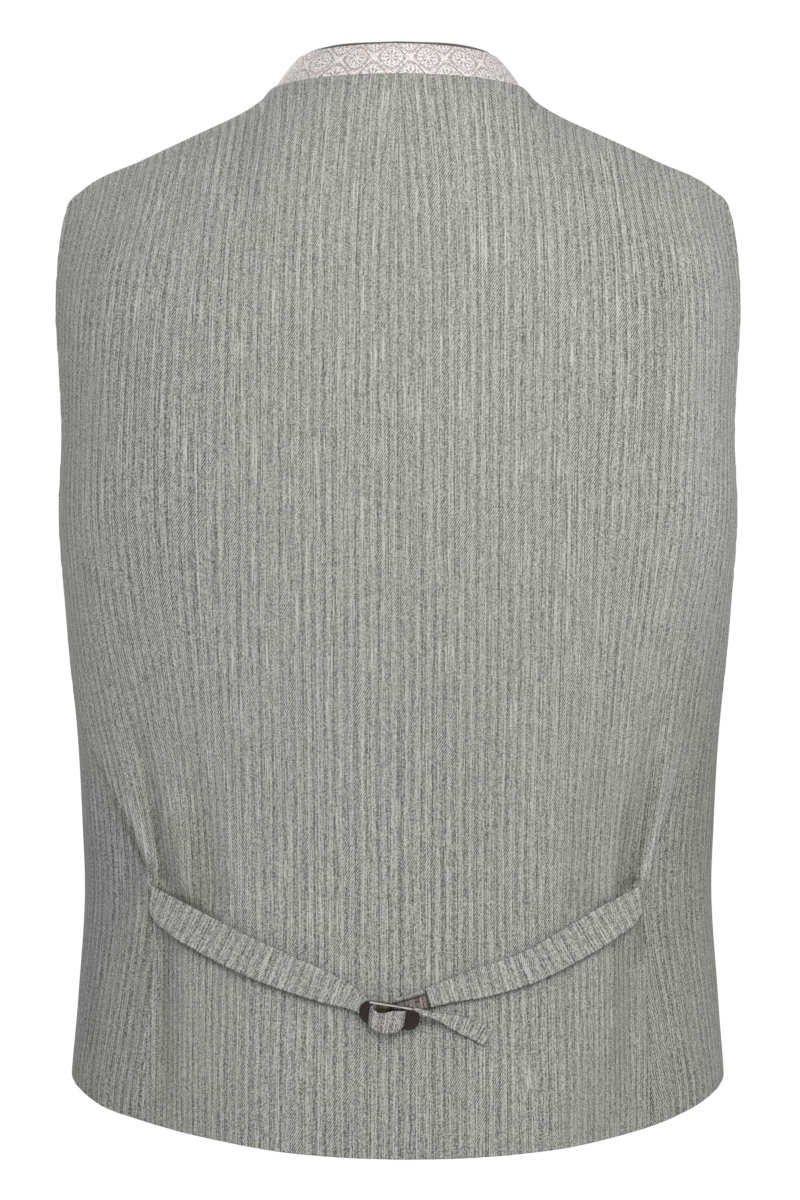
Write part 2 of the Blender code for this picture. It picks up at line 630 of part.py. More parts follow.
def make_buckle(metal):
    """The slide: a flat oval plate with a wide slot and a round bar across its middle."""
    middle, directions = buckle_frame()
    outside, inside = rounded_outline(BUCKLE_OUTSIDE), rounded_outline(BUCKLE_INSIDE)
    half = np.full((len(outside), 1), BUCKLE_WALL / 2)
    sides = [(outside, half), (inside, half), (inside, -half), (outside, -half)]
    rings = np.stack([np.concatenate(side, axis=1) for side in sides], axis=1)
    plate = ring_solid("buckle", middle + rings @ directions, False, metal)
    turn = np.linspace(0, 2 * math.pi, BAR_SIDES, endpoint=False)
    reach = (BUCKLE_OUTSIDE.width + BUCKLE_INSIDE.width) / 4
    ends = np.array([[-reach], [reach]])
    thick = BAR_FLATNESS * BUCKLE_BAR * np.sin(turn)
    spokes = np.broadcast_arrays(BUCKLE_BAR * np.cos(turn), ends, thick)
    bar = ring_solid("buckle_bar", middle + np.stack(spokes, axis=-1) @ directions, True, metal)
    join = plate.modifiers.new("bar", "BOOLEAN")
    join.operation = "UNION"
    join.solver = "EXACT"
    join.object = bar
    bar.hide_render = True
    bar.display_type = "WIRE"


def make_loop(cloth):
    """The strap over the slide's bar."""
    middle, directions = buckle_frame()
    knots = np.arange(len(LOOP))
    at = np.linspace(0, len(LOOP) - 1, LOOP_STATIONS)
    along, out, top, bottom = (smooth(knots, column, at) for column in zip(*LOOP))
    way = unit(np.stack([np.gradient(along), np.gradient(out)], axis=-1))
    down = np.linspace(0, 1, LOOP_LINES)[:, None]
    height = top + (bottom - top) * down
    faces = []
    for side in (0.5, -0.5):
        shift_along = along + side * LOOP_WALL * way[:, 1]
        shift_out = out - side * LOOP_WALL * way[:, 0]
        grid = np.broadcast_arrays(shift_along, height, shift_out)
        faces.append(middle + np.stack(grid, axis=-1) @ directions)
    wall("belt_loop", faces[0], faces[1], cloth)


def make_button(name, height, front, material):
    """A turned disc on the centre line of the front."""
    hit = np.array(front.ray_cast((0, -1, height), (0, 1, 0))[0])
    reach = BUTTON_PROFILE[1].radius
    around = [front.ray_cast((0, -1, height + step), (0, 1, 0))[0] for step in (-reach, reach)]
    rise = np.array(around[1] - around[0])
    out = unit(np.array([0, -rise[2], rise[1]]))
    right = np.array([1.0, 0, 0])
    upward = unit(np.cross(out, right))
    right = np.cross(upward, out)
    angle = np.linspace(0, 2 * math.pi, BUTTON_SIDES, endpoint=False)[:, None]
    spoke = right * np.cos(angle) + upward * np.sin(angle)
    rings = [hit + spoke * ring.radius + out * (ring.out + LIE_GAP) for ring in BUTTON_PROFILE]
    ring_solid(name, np.stack(rings), True, material)


def main():
    for old in list(bpy.data.objects):
        bpy.data.objects.remove(old)
    cloth = finish("striped_cloth", (0.30, 0.31, 0.28), 0.9)
    jacquard = finish("collar_jacquard", (0.70, 0.66, 0.60), 0.75)
    satin = finish("collar_lining", (0.14, 0.11, 0.10), 0.6)
    metal = finish("dark_metal", (0.16, 0.14, 0.13), 0.35, 0.9)
    horn = finish("dark_horn", (0.10, 0.09, 0.08), 0.4)
    backs = [
        make_panel("back_left", BACK, 1, BACK_COLUMNS, cloth),
        make_panel("back_right", BACK, -1, BACK_COLUMNS, cloth),
    ]
    front = make_panel("front_left", FRONT, 1, FRONT_COLUMNS, cloth)
    make_panel("front_right", FRONT, -1, FRONT_COLUMNS, cloth)
    make_collar_band("collar", 0, COLLAR_WALL, 0, jacquard)
    make_collar_band("collar_lining", COLLAR_WALL + GAP, LINING_WALL, LINING_RISE, satin)
    back = grid_tree(backs)
    make_strap("belt_left", BELT_LEFT, BELT_STATIONS, back, cloth)
    make_strap("belt_right", BELT_RIGHT, BELT_STATIONS, back, cloth)
    make_strap("belt_tail", BELT_TAIL, TAIL_STATIONS, back, cloth)
    make_buckle(metal)
    make_loop(cloth)
    places = np.linspace(BUTTON_TOP, BUTTON_BOTTOM, BUTTON_COUNT)
    for number, height in enumerate(places.tolist(), 1):
        make_button(f"button_{number}", height, grid_tree([front]), horn)


main()
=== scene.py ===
# %% [markdown]
# # A suit waistcoat with a stand collar and a back belt
# A waistcoat is a shell of cloth that a body fills out. The packed solids already have its true
# sizes, so this lesson lays fine cloth over them: panels with rolled edges and soft folds, a woven
# collar, a belt that runs through a metal slide, and buttons. Every piece is a surface worked out
# with numpy on a grid, which keeps each shape a short formula that can be read and changed.

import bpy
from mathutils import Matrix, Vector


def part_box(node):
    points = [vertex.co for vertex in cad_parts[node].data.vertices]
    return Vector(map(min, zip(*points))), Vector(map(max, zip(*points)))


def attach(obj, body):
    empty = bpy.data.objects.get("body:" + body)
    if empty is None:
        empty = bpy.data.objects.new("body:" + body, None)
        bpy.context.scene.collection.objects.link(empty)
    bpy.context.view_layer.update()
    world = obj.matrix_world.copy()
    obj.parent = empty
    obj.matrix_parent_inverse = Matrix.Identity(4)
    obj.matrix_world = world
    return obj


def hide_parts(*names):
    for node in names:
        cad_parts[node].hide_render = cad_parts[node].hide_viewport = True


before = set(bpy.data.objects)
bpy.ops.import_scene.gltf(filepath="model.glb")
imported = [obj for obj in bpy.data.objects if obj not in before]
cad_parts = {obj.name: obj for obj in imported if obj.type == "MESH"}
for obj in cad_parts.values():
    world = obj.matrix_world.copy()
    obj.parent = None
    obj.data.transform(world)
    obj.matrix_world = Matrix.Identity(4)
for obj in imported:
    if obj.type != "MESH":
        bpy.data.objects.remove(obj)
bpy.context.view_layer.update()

# %% [markdown]
# ## Reading short tables
# A garment's shape is a few measurements at a few places. Each table below has a row per place,
# with lengths in millimetres, and `curves` makes a function of each column that can be read
# anywhere in between, in metres. A spline object could do this too, but plain functions work on
# whole arrays at once.

# %% Helpers for tables and vectors
import math
from collections import namedtuple
from functools import partial, partialmethod

import bpy
import numpy as np
from mathutils.bvhtree import BVHTree

MM = 1000  # millimetres in a metre


def columns(scales, rows):
    """A table's columns, each divided by its scale: MM for lengths, 1 for shares and degrees."""
    return [np.array(column, float) / scale for column, scale in zip(zip(*rows), scales)]


def smooth(knots, values, at):
    """Cubic pieces through the values at the knots; a knot's slope comes from its neighbours."""
    at = np.clip(at, knots[0], knots[-1])
    slopes = np.gradient(values, knots)
    i = np.clip(np.searchsorted(knots, at, side="right") - 1, 0, len(knots) - 2)
    span = knots[i + 1] - knots[i]
    u = (at - knots[i]) / span
    start = (1 + 2 * u) * (1 - u) ** 2 * values[i] + u * (1 - u) ** 2 * span * slopes[i]
    end = u**2 * (3 - 2 * u) * values[i + 1] - u**2 * (1 - u) * span * slopes[i + 1]
    return start + end


def curves(scales, *rows):
    """A smooth function for every column of a table after the first, read along the first."""
    first, *others = columns(scales, rows)
    return [partial(smooth, first, column) for column in others]


def ease(low, high, value):
    """0 below low, 1 above high, and the curve 3u^2 - 2u^3 between."""
    u = np.clip((value - low) / (high - low), 0, 1)
    return u * u * (3 - 2 * u)


print("an ease at each quarter:", [ease(0, 1, u) for u in (0, 0.25, 0.5, 0.75, 1)])

# %% [markdown]
# ## The garment's own sizes
# These are the sizes that the solids were made from, so the fine cloth lies where they are.
# Sections give the body of the garment at each height, with the direction in which the side seam
# lies: behind the side at the waist, since the fronts wrap round to the back.

# %% Sizes of the body
WALL = 0.0020  # cloth, interlining and turnings together
GAP = 0.0003  # between pieces at a seam
SEAM_GAP = 0.00004  # the sewn panels meet, so that no light comes through
LIE_GAP = 0.0006  # under what lies loose on a panel
SQUARENESS = 2.3  # exponent of the sections; 2 would be an ellipse
COLUMN_CROWDING = 0.25  # how much a panel's columns draw together toward its side
SEAM_REACH = 0.185  # from the axis to the side seams
HEM_SEAM_ANGLE = 33.0
UNDERARM = -0.288
UNDERARM_ANGLE = -4.0
ARMHOLE_TOP = -0.061
# By height: half the width, the depths behind and before the axis, and the side seam's direction.
half_width_at, back_at, front_at, seam_angle_at = curves(
    (MM, MM, MM, MM, 1),
    (-600, 184.5, 119, 127, HEM_SEAM_ANGLE), (-560, 184.6, 117.5, 126, 32),
    (-515, 181, 111, 122, 30.5), (-450, 177, 102, 117, 28), (-416, 178.3, 102, 117.5, 24.5),
    (-377, 180.5, 105.5, 120, 15.5), (-345, 183.2, 110, 123, 7), (-311, 186.6, 114.5, 125.5, 0),
    (-288, 188.5, 117, 126.5, -4), (-243, 192, 120, 127.5, -4), (-192, 190.8, 121.5, 127.5, -4),
    (-150, 193.5, 121.5, 127.5, -4), (-120, 196.5, 121.5, 127.5, -4),
    (-80, 199, 121.5, 127.5, -4), (0, 200, 121.5, 127.5, -4),
)
# By direction: the hem's height on the wearer's left and right.
hem_left_at, hem_right_at = curves(
    (1, MM, MM),
    (-90, -556, -556), (-78, -569, -569), (-68, -583.5, -583.5), (-61, -588, -588),
    (-53, -585, -585), (-40, -571, -571), (-20, -557.5, -557.5), (0, -553.5, -553.5),
    (14.5, -560.6, -561.2), (23, -567.2, -567.8), (31, -571.3, -573.7), (42, -577.3, -580.1),
    (50, -580.9, -583.6), (60, -584.5, -586), (75, -587.3, -588), (90, -588.4, -588.4),
)
# By the share of the way up: the armhole's height, and its direction behind and in front.
armhole_height_at, armhole_back_at, armhole_front_at = curves(
    (1, MM, 1, 1),
    (0, -288, -4, -4), (0.02, -287.5, -0.8, -8), (0.06, -284, 2, -13), (0.12, -274.5, 3.8, -18),
    (0.20, -256, 4.9, -22.5), (0.32, -227, 5.4, -26), (0.50, -184, 5.4, -28),
    (0.65, -149, 5.2, -27.5), (0.80, -113, 4.9, -23), (0.90, -88, 4.6, -18), (1, -61, 4.2, -13),
)
# By the distance from the centre: the shoulder's height, as seen from behind.
(shoulder_at,) = curves(
    (MM, MM),
    (60, 0), (71, 0), (77.1, -5.6), (84.5, -10.8), (94.1, -15.8), (106.9, -21.5), (144.3, -38.5),
    (179.4, -55.5), (186.5, -62), (191.6, -72.5), (198.5, -95),
)
SHOULDER_TIP = 0.1855
SHOULDER_SEAM = -0.004  # depth of the shoulder seam
NECK_HALF_WIDTH = 0.071
NECK_DIP = 1.5  # how sharply the front of the neck dips at its centre
NECK_COLUMN = 0.40  # share of a panel's width, at the top, that goes to the neck
LAP_COLUMN = 0.058  # how far a front runs past the centre front, as a share of its width
LAP_FADING = (1.1, 2.0)  # where the lower front comes back up beside the lap, in laps
Face = namedtuple("Face", "turn neck_depth neck_height swell roll_start armhole_at")
BACK = Face(1, 0.078, 0.000, 3.3, -0.15, armhole_back_at)
FRONT = Face(-1, -0.062, -0.072, 4.0, 0.08, armhole_front_at)
ROLL_SPAN = 0.70
SHOULDER_SWELL = 3.0
SHOULDER_ROUNDING = 2.5
CORNER_SOFTNESS = 0.45
SOFTENING = ((-1.0, 1 / 16), (-0.5, 4 / 16), (0.0, 6 / 16), (0.5, 4 / 16), (1.0, 1 / 16))
print("half widths at hem and chest:", half_width_at(-0.58), half_width_at(-0.24))


# %% [markdown]
# ## The panel as a function of two parameters
# `across` runs from the centre line to the side seam or armhole, and `up` from the hem (0) by the
# underarm (1) to the neck and shoulder seams (2). Two parameters make a grid of any fineness from
# one formula, which suits cloth better than sculpting: the edges stay exactly on the seams.

# %% Sections and the top edge
def grid(*parts):
    """Three arrays or numbers as one array of points."""
    return np.stack(np.broadcast_arrays(*parts), axis=-1)


def section(angle, height):
    """The point in one direction of |x/w|^n + |y/d|^n = 1, with w and d read at the height."""
    across, along = np.cos(angle), np.sin(angle)
    depth = np.where(angle >= 0, back_at(height), front_at(height))
    shares = np.abs(across / half_width_at(height)), np.abs(along / depth)
    reach = (shares[0] ** SQUARENESS + shares[1] ** SQUARENESS) ** (-1 / SQUARENESS)
    return reach * across, reach * along


def neck_point(turn, face):
    """A half ellipse round the neck; its height falls with a power of the cosine of the turn."""
    seam = SHOULDER_SEAM + face.turn * SEAM_GAP / 2
    y = seam + (face.neck_depth - seam) * np.cos(turn)
    return NECK_HALF_WIDTH * np.sin(turn), y, face.neck_height * np.abs(np.cos(turn)) ** NECK_DIP


def top_edge(across, face):
    """The neck seam up to NECK_COLUMN, then the shoulder seam out to its tip."""
    neck = neck_point(math.pi / 2 * np.clip(across / NECK_COLUMN, -1, 1), face)
    share = (across - NECK_COLUMN) / (1 - NECK_COLUMN)
    x = NECK_HALF_WIDTH + (SHOULDER_TIP - NECK_HALF_WIDTH) * share
    shoulder = (x, SHOULDER_SEAM + face.turn * SEAM_GAP / 2, shoulder_at(x))
    return [np.where(across <= NECK_COLUMN, *pair) for pair in zip(neck, shoulder)]


def top_point(across, up, face):
    """The top edge averaged over a few places, further apart the lower the row."""
    softness = CORNER_SOFTNESS * (1 - up)
    return sum(
        weight * np.stack(top_edge(across + softness * step, face)) for step, weight in SOFTENING
    )


print("shoulder tip:", [round(float(part), 4) for part in top_edge(1.0, BACK)])


# %% Panel surface
CLOSE = 1e-4  # how close together two points are that give a slope


def unit(vectors):
    """Each vector divided by its own length."""
    return vectors / np.linalg.norm(vectors, axis=-1, keepdims=True)


def column_angle(across, edge, face):
    """From the centre's direction to the edge's, with the columns a little closer at the edge."""
    centre = face.turn * math.pi / 2
    edge = np.radians(edge) + face.turn * SEAM_GAP / 2 / SEAM_REACH
    return centre + (edge - centre) * ((1 + COLUMN_CROWDING) * across - COLUMN_CROWDING * across**2)


def lower_panel(across, up, face, hem_at):
    """Hem (up 0) to underarm (up 1): the section's point at a height between the two."""
    hem = hem_at(np.degrees(column_angle(across, HEM_SEAM_ANGLE, face)))
    height = hem + (UNDERARM - hem) * up
    return grid(*section(column_angle(across, seam_angle_at(height), face), height), height)


def upper_panel(across, up, face):
    """Underarm (up 0) to the top (up 1): the section's point drawn in to the neck and shoulder.

    The share kept of the section is (1 - up^swell)^(1/rounding), so the cloth rises straight at
    first and then rolls over to the seam.
    """
    edge_rise = (armhole_height_at(up) - UNDERARM) / (ARMHOLE_TOP - UNDERARM)
    rise = up + (edge_rise - up) * across**2
    top_x, top_y, top_z = top_point(across, up, face)
    height = UNDERARM + (top_z - UNDERARM) * rise
    x, y = section(column_angle(across, face.armhole_at(up), face), height)
    to_shoulder = ease(face.roll_start, face.roll_start + ROLL_SPAN, across)
    swell = face.swell + (SHOULDER_SWELL - face.swell) * to_shoulder
    rounding = 1 + (SHOULDER_ROUNDING - 1) * to_shoulder
    keep = np.clip(1 - up**swell, 0, 1) ** (1 / rounding)
    x, y = top_x + (x - top_x) * keep, top_y + (y - top_y) * keep
    start_x, _ = section(column_angle(across, UNDERARM_ANGLE, face), UNDERARM)
    line = (1 - rise) * shoulder_at(start_x) + rise * shoulder_at(top_x)
    return grid(x, y, height + (shoulder_at(x) - line) * up**3)


def panel_points(across, up, face, hem_at):
    """The left panel's plain face; where across is negative it mirrors the other side."""
    across, up = across[None, :], up[:, None]
    lower = lower_panel(np.abs(across), np.clip(up, -1, 1), face, hem_at)
    upper = upper_panel(np.abs(across), np.clip(up - 1, 0, 1), face)
    points = np.where(up[..., None] <= 1, lower, upper)
    points[..., 0] *= np.where(across < 0, -1, 1)
    return points


def panel_normals(across, up, face, hem_at):
    """Cross product of the face's slopes along and across, each from two points close together."""
    ways = (-CLOSE, CLOSE)
    low, high = (panel_points(across, np.clip(up + way, 0, 2), face, hem_at) for way in ways)
    near, far = (panel_points(across + way, up, face, hem_at) for way in ways)
    return unit(np.cross(far - near, high - low)) * -face.turn


corner = panel_points(np.array([0.0, 1.0]), np.array([0.0, 2.0]), BACK, hem_left_at)
print("back from hem to neck:", round(float(np.ptp(corner[:, 0, 2])), 3))

# %% [markdown]
# ## Folds placed one by one
# Where the belt pulls, the cloth is drawn into soft ridges and troughs that fan out from the belt's
# ends. Each is a row of a table: a line from one place to another, how wide it is and how deep. A
# cloth simulation would place them for us, but not where this belt has pulled them.

# %% Fold tables
FOLD_FADING = 0.75  # of its depth, by its far end
CREASE_FADING = (-0.15, 0.25, 0.55, 1.15)  # finer creases fade at both ends
BACK_TO_FRONT = (-0.020, 0.030)  # depths between which the back's folds give way to the front's
# Each row, in millimetres: from across and height, to across and height, width, and depth.
BACK_FOLDS = (
    (134.5, -443, 158, -352, 4.5, 2.6), (129, -440, 146, -345, 6, -4),
    (117, -440, 135, -360, 7.5, 3), (102, -446, 114, -380, 8.5, -2.6),
    (85, -452, 95, -392, 10, 1.6), (138, -470, 136.5, -560, 5, 2),
    (129, -474, 126, -560, 6.5, -2.6), (115, -482, 112, -570, 9, 2),
    (60, -525, 66, -588, 13, 1.8), (-132.5, -443, -156, -340, 4.5, 3.2),
    (-126, -441, -145, -345, 6, -4.2), (-113, -446, -130, -360, 7.5, 2.6),
    (-99, -450, -112, -380, 8.5, -2.2), (-134, -474, -133, -545, 5, 2.2),
    (-125, -478, -122, -566, 7, -2.6), (-108, -486, -106, -566, 10, 1.6),
    (-50, -530, -58, -588, 13, 1.6),
)
FRONT_FOLDS = (
    (142, -446, 166, -360, 9, -3.6), (146, -470, 150, -560, 9, -2.6),
    (160, -455, 164, -520, 8, 1.8), (-140, -446, -164, -360, 8, -3),
    (-144, -474, -150, -545, 8, -2.2), (-158, -450, -161, -520, 8, 1.6),
    (150, -300, 120, -420, 14, -2.6), (126, -450, 112, -560, 14, 2.4),
    (-152, -305, -118, -430, 14, -2.8), (-124, -460, -116, -560, 14, 2.2),
)
BACK_CREASES = (
    (128, -438, 147, -372, 3, 0.7), (110, -438, 124, -392, 3.2, -0.5),
    (142, -430, 160, -366, 3.4, -0.7), (86, -446, 96, -398, 5, 0.5),
    (140, -462, 133, -505, 3, -0.8), (104, -480, 101, -535, 5, 0.6),
    (-129, -436, -150, -366, 3, 0.8), (-114, -438, -133, -380, 3.4, -0.6),
    (-141, -430, -163, -362, 3, -0.6), (-92, -446, -104, -404, 5, 0.5),
    (-141, -464, -136, -520, 3, -0.9), (-158, -470, -160, -512, 4, 0.7),
    (-100, -484, -96, -540, 5, 0.5), (30, -60, 75, -150, 16, 0.7),
    (-34, -55, -82, -140, 15, 0.6), (150, -120, 135, -240, 14, -0.8),
    (-152, -110, -138, -230, 13, -0.9), (20, -300, 24, -440, 18, 0.6),
    (-45, -280, -38, -450, 17, -0.5),
)
FRONT_CREASES = (
    (60, -180, 110, -250, 12, -0.8), (-58, -190, -112, -262, 12, -0.8),
    (40, -430, 75, -520, 12, 0.8), (-44, -420, -78, -530, 12, 0.7),
)
print("folds:", len(BACK_FOLDS + FRONT_FOLDS), "creases:", len(BACK_CREASES + FRONT_CREASES))


# %% Depth of the folds
def hump(rise, full, fall, end, value):
    """0 before the rise and after the end, 1 from full to fall, with eased slopes."""
    return ease(rise, full, value) * (1 - ease(fall, end, value))


def lines_sum(points, rows, fading, scale=MM):
    """Sum over a table's lines of depth x fading x exp(-(distance / width)^2).

    The fading is a function of the share of the way along the line.
    """
    flat, total = points[..., [0, 2]], 0
    for x0, z0, x1, z1, width, depth in zip(*columns([MM] * 5 + [scale], rows)):
        start, way = np.array([x0, z0]), np.array([x1 - x0, z1 - z0])
        along = (flat - start) @ way / np.sum(way**2)
        nearest = start + np.clip(along, 0, 1)[..., None] * way
        distance = np.linalg.norm(flat - nearest, axis=-1)
        total = total + depth * fading(along) * np.exp(-((distance / width) ** 2))
    return total


def fold_depth(points):
    """The lines' sums of folds and finer creases, with an eased change from back to front."""
    behind = ease(*BACK_TO_FRONT, points[..., 1])

    def both(folds, creases):
        soft = lines_sum(points, folds, lambda along: 1 - FOLD_FADING * np.clip(along, 0, 1))
        return soft + lines_sum(points, creases, partial(hump, *CREASE_FADING))

    return both(BACK_FOLDS, BACK_CREASES) * behind + both(FRONT_FOLDS, FRONT_CREASES) * (1 - behind)


beside_belt = fold_depth(np.array([[0.129, 0.08, -0.43]]))
print("depth of the fold beside the belt's left end:", round(float(beside_belt[0]), 4))


# %% [markdown]
# ## Turning grids into closed cloth
# A panel of real cloth is folded over at every edge, so its edge is round, not cut square. Each
# piece here is an outer and an inner grid. Close to an edge both bend toward each other along a
# quarter circle, and a narrow rim joins them, which leaves a closed wall with a soft, turned edge.
# Solidify and Bevel would do nearly the same, but they would round each edge alike.

# %% Mesh helpers
Piece = namedtuple("Piece", "name node slot")  # the solid that it stands for, and its finish


def grid_cells(index):
    """The four-cornered faces between the rows and columns of a grid of point numbers."""
    corners = (index[:-1, :-1], index[:-1, 1:], index[1:, 1:], index[1:, :-1])
    return np.stack([corner.ravel() for corner in corners], axis=1)


def add_piece(piece, points, groups, materials, uv=None, slots=None):
    """A mesh from points and groups of faces; uv is given per point, slots per face."""
    mesh = bpy.data.meshes.new(piece.name)
    mesh.from_pydata(points.tolist(), [], [face for group in groups for face in group.tolist()])
    for material in materials:
        mesh.materials.append(material)
    if slots is not None:
        mesh.polygons.foreach_set("material_index", np.asarray(slots, np.int32))
    if uv is not None:
        layer = mesh.uv_layers.new(name="flat")
        corner = np.empty(len(mesh.loops), np.int32)
        mesh.loops.foreach_get("vertex_index", corner)
        layer.data.foreach_set("uv", uv[corner].astype(np.float32).ravel())
    mesh.shade_smooth()
    made = bpy.data.objects.new(piece.name, mesh)
    bpy.context.scene.collection.objects.link(made)
    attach(made, "root")
    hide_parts(piece.node)
    print(piece.name, "faces:", len(mesh.polygons))
    return made


# %% Closed walls
def cloth_wall(piece, outer, inner, out, materials, uv):
    """A closed wall: the outer grid, the inner grid turned round, and a rim along four edges.

    The winding is reversed where the cross product of the grid's own steps points away from `out`.
    """
    rows, across = outer.shape[:2]
    count = rows * across
    index = np.arange(count).reshape(rows, across)
    rim = np.concatenate([index[0, :-1], index[:-1, -1], index[-1, :0:-1], index[:0:-1, 0]])
    after = np.roll(rim, -1)
    edges = np.stack([rim, rim + count, after + count, after], axis=1)
    face = grid_cells(index)
    faces = np.concatenate([face, edges, face[:, ::-1] + count])
    slots = np.repeat([0, 0, len(materials) - 1], [len(face), len(edges), len(face)])
    steps = np.cross(outer[:-1, 1:] - outer[:-1, :-1], outer[1:, :-1] - outer[:-1, :-1])
    if np.sum(steps * out[:-1, :-1]) < 0:
        faces = faces[:, ::-1]
    points = np.concatenate([outer.reshape(-1, 3), inner.reshape(-1, 3)])
    return add_piece(piece, points, [faces], materials, np.tile(uv.reshape(-1, 2), (2, 1)), slots)


def add_share(made, name, outer, inner):
    """A number at each point of a wall's two grids, which its material reads by name."""
    values = np.stack([outer, inner]).ravel().astype(np.float32)
    made.data.attributes.new(name, "FLOAT", "POINT").data.foreach_set("value", values)


def rolled(distance, radius):
    """How far a turned edge has bent in: radius - sqrt(radius^2 - (radius - distance)^2)."""
    left = np.clip(1 - distance / radius, 0, 1)
    return radius * (1 - np.sqrt(1 - left**2))


print("a turned edge of 1 mm, bent in by:", rolled(np.array([0, 0.25, 0.5, 1]) / MM, 1 / MM))

# %% [markdown]
# ## The pattern's flat layout
# A woven stripe follows the warp, which runs up the flat cloth before it is sewn. To lay it out we
# walk over each panel and add up how far every step goes level and how far it climbs: that gives
# each point a place in the flat cut, in metres. Stripes then lean by themselves where the shoulder
# slopes. A plain projection from behind would smear them on the sides.

# %% Flat layout
# By height: the shaped centre-back seam draws the stripes together up to the collar.
(centre_lean_at,) = curves(
    (MM, MM), (-600, 0), (-170, 0), (-90, 0.7), (-45, 3.2), (-10, 6.4), (14, 9.4)
)
CENTRE_LEAN_SPAN = 0.085  # from the centre to where the cloth runs straight again
# By height: cloth drawn inward by the belt and the side shaping, and more toward the side seams.
(belt_pull_at,) = curves((MM, MM), (-600, 30), (-450, 19), (-370, 9), (-290, 0), (14, 0))
BELT_PULL_ACROSS = (0.080, 0.150)
(left_pull_at,) = curves((MM, MM), (-600, 14), (-440, 14), (-400, 8), (-355, 0), (14, 0))
(right_pull_at,) = curves(
    (MM, MM), (-600, 17), (-430, 17), (-380, 11), (-320, 8.5), (-240, 0), (14, 0)
)
SIDE_PULL_ACROSS = (0.095, 0.175)
ON_TOP = (0.20, 0.60)  # upward shares of the outward direction on top of the shoulders
RIGHT_TURN = 0.060  # how much less the right shoulder's stripes lean
RIGHT_TURN_ABOVE = -0.220
RIGHT_TURN_ACROSS = (0.0, 0.160)


def running(steps, axis):
    """0, and then the running sum of the steps along a grid's rows or columns."""
    return np.insert(np.cumsum(steps, axis=axis), 0, 0, axis=axis)


def run_along(points, axis):
    """Distance walked along a grid's rows or columns."""
    return running(np.linalg.norm(np.diff(points, axis=axis), axis=-1), axis)


def walked(points, way, axis):
    """Running sum of each step's length in a direction, which is the mean of its two ends' own."""
    mean = (np.delete(way, 0, axis) + np.delete(way, -1, axis)) / 2
    return running(np.sum(np.diff(points, axis=axis) * mean, axis=-1), axis)


def flat_layout(points, out, side, face):
    """Level and climbing distances on the cloth; level ones are the mean of two ways to walk.

    Level is the in-surface direction with no height, on top of the shoulders the one nearest to
    straight across the body, and climbing is at right angles to it. One way walks along each row
    from the centre, the other up and down each column from the underarm.
    """
    level = unit(np.cross(out, [0.0, 0.0, 1.0])) * face.turn
    straight = unit(np.array([1.0, 0.0, 0.0]) - out * out[..., :1])
    on_top = ease(*ON_TOP, np.abs(out[..., 2:]))
    level = unit(level * (1 - on_top) + straight * on_top)
    climb = unit(np.cross(level, out))
    climb *= np.sign(climb[..., 2:])
    middle = int(np.argmin(np.abs(points[:, 0, 2] - UNDERARM)))
    by_row = points[:, :1, 0] + walked(points, level, 1)
    up_column, rise = walked(points, level, 0), walked(points, climb, 0)
    across = (by_row + (by_row[middle] + up_column - up_column[middle])) / 2
    along = points[middle, 0, 2] + walked(points, climb, 1)[middle] + rise - rise[middle]
    if face is BACK:
        x, z = np.abs(points[..., 0]), points[..., 2]
        side_pull = (left_pull_at if side > 0 else right_pull_at)(z) * ease(*SIDE_PULL_ACROSS, x)
        belt_pull = belt_pull_at(z) * ease(*BELT_PULL_ACROSS, x)
        lean = centre_lean_at(z) * (1 - ease(0, CENTRE_LEAN_SPAN, x))
        across = across + side * (lean + belt_pull + side_pull)
        if side < 0:
            above = np.clip(z - RIGHT_TURN_ABOVE, 0, None)
            across = across + RIGHT_TURN * above * ease(*RIGHT_TURN_ACROSS, x)
    return np.stack([across * face.turn, along], axis=-1)


print("drawn inward at the hem, left and right:", left_pull_at(-0.58), right_pull_at(-0.58))

# %% [markdown]
# ## Node arithmetic
# Woven cloth is best made from formulas: a stripe is noise stretched along the warp, a twill is a
# wave set at an angle. Building such formulas out of nodes by hand is slow to read, so a small
# class lets us write them as sums and products, and adds the Math nodes as it goes.

# %% Node helpers
class Wire:
    """A node's output. Adding or multiplying wires adds Math nodes."""

    def __init__(self, tree, socket):
        self.tree, self.socket = tree, socket

    def math(self, operation, *others):
        return add_node(self.tree, "Math", enumerate((self, *others)), operation=operation)

    __add__ = __radd__ = partialmethod(math, "ADD")
    __sub__ = partialmethod(math, "SUBTRACT")
    __rsub__ = partialmethod(math, "MULTIPLY_ADD", -1.0)
    __mul__ = __rmul__ = partialmethod(math, "MULTIPLY")
    __truediv__ = partialmethod(math, "DIVIDE")

    def sine(self, period=1.0, shift=0.0):
        """The sine of 2 pi times the value divided by its period, moved by a share of a turn."""
        return self.math("MULTIPLY_ADD", 2 * math.pi / period, 2 * math.pi * shift).math("SINE")

    def ramp(self, low, high):
        """0 below low, 1 above high, and a smooth rise between."""
        inputs = {"Value": self, "From Min": low, "From Max": high}
        return add_node(self.tree, "MapRange", inputs, "Result", interpolation_type="SMOOTHSTEP")


def feed(socket, value):
    """Links a wire to a socket, or sets a number or a colour of three shares on it."""
    if isinstance(value, Wire):
        value.tree.links.new(value.socket, socket)
    else:
        socket.default_value = (*value, 1.0) if isinstance(value, tuple) else value


def add_node(tree, kind, inputs=(), output=0, **settings):
    """A node with its settings, and its inputs by name or number. Gives one output as a wire."""
    node = tree.nodes.new("ShaderNode" + kind)
    for name, value in settings.items():
        setattr(node, name, value)
    for place, value in dict(inputs).items():
        feed(node.inputs[place], value)
    return Wire(tree, node.outputs[output])


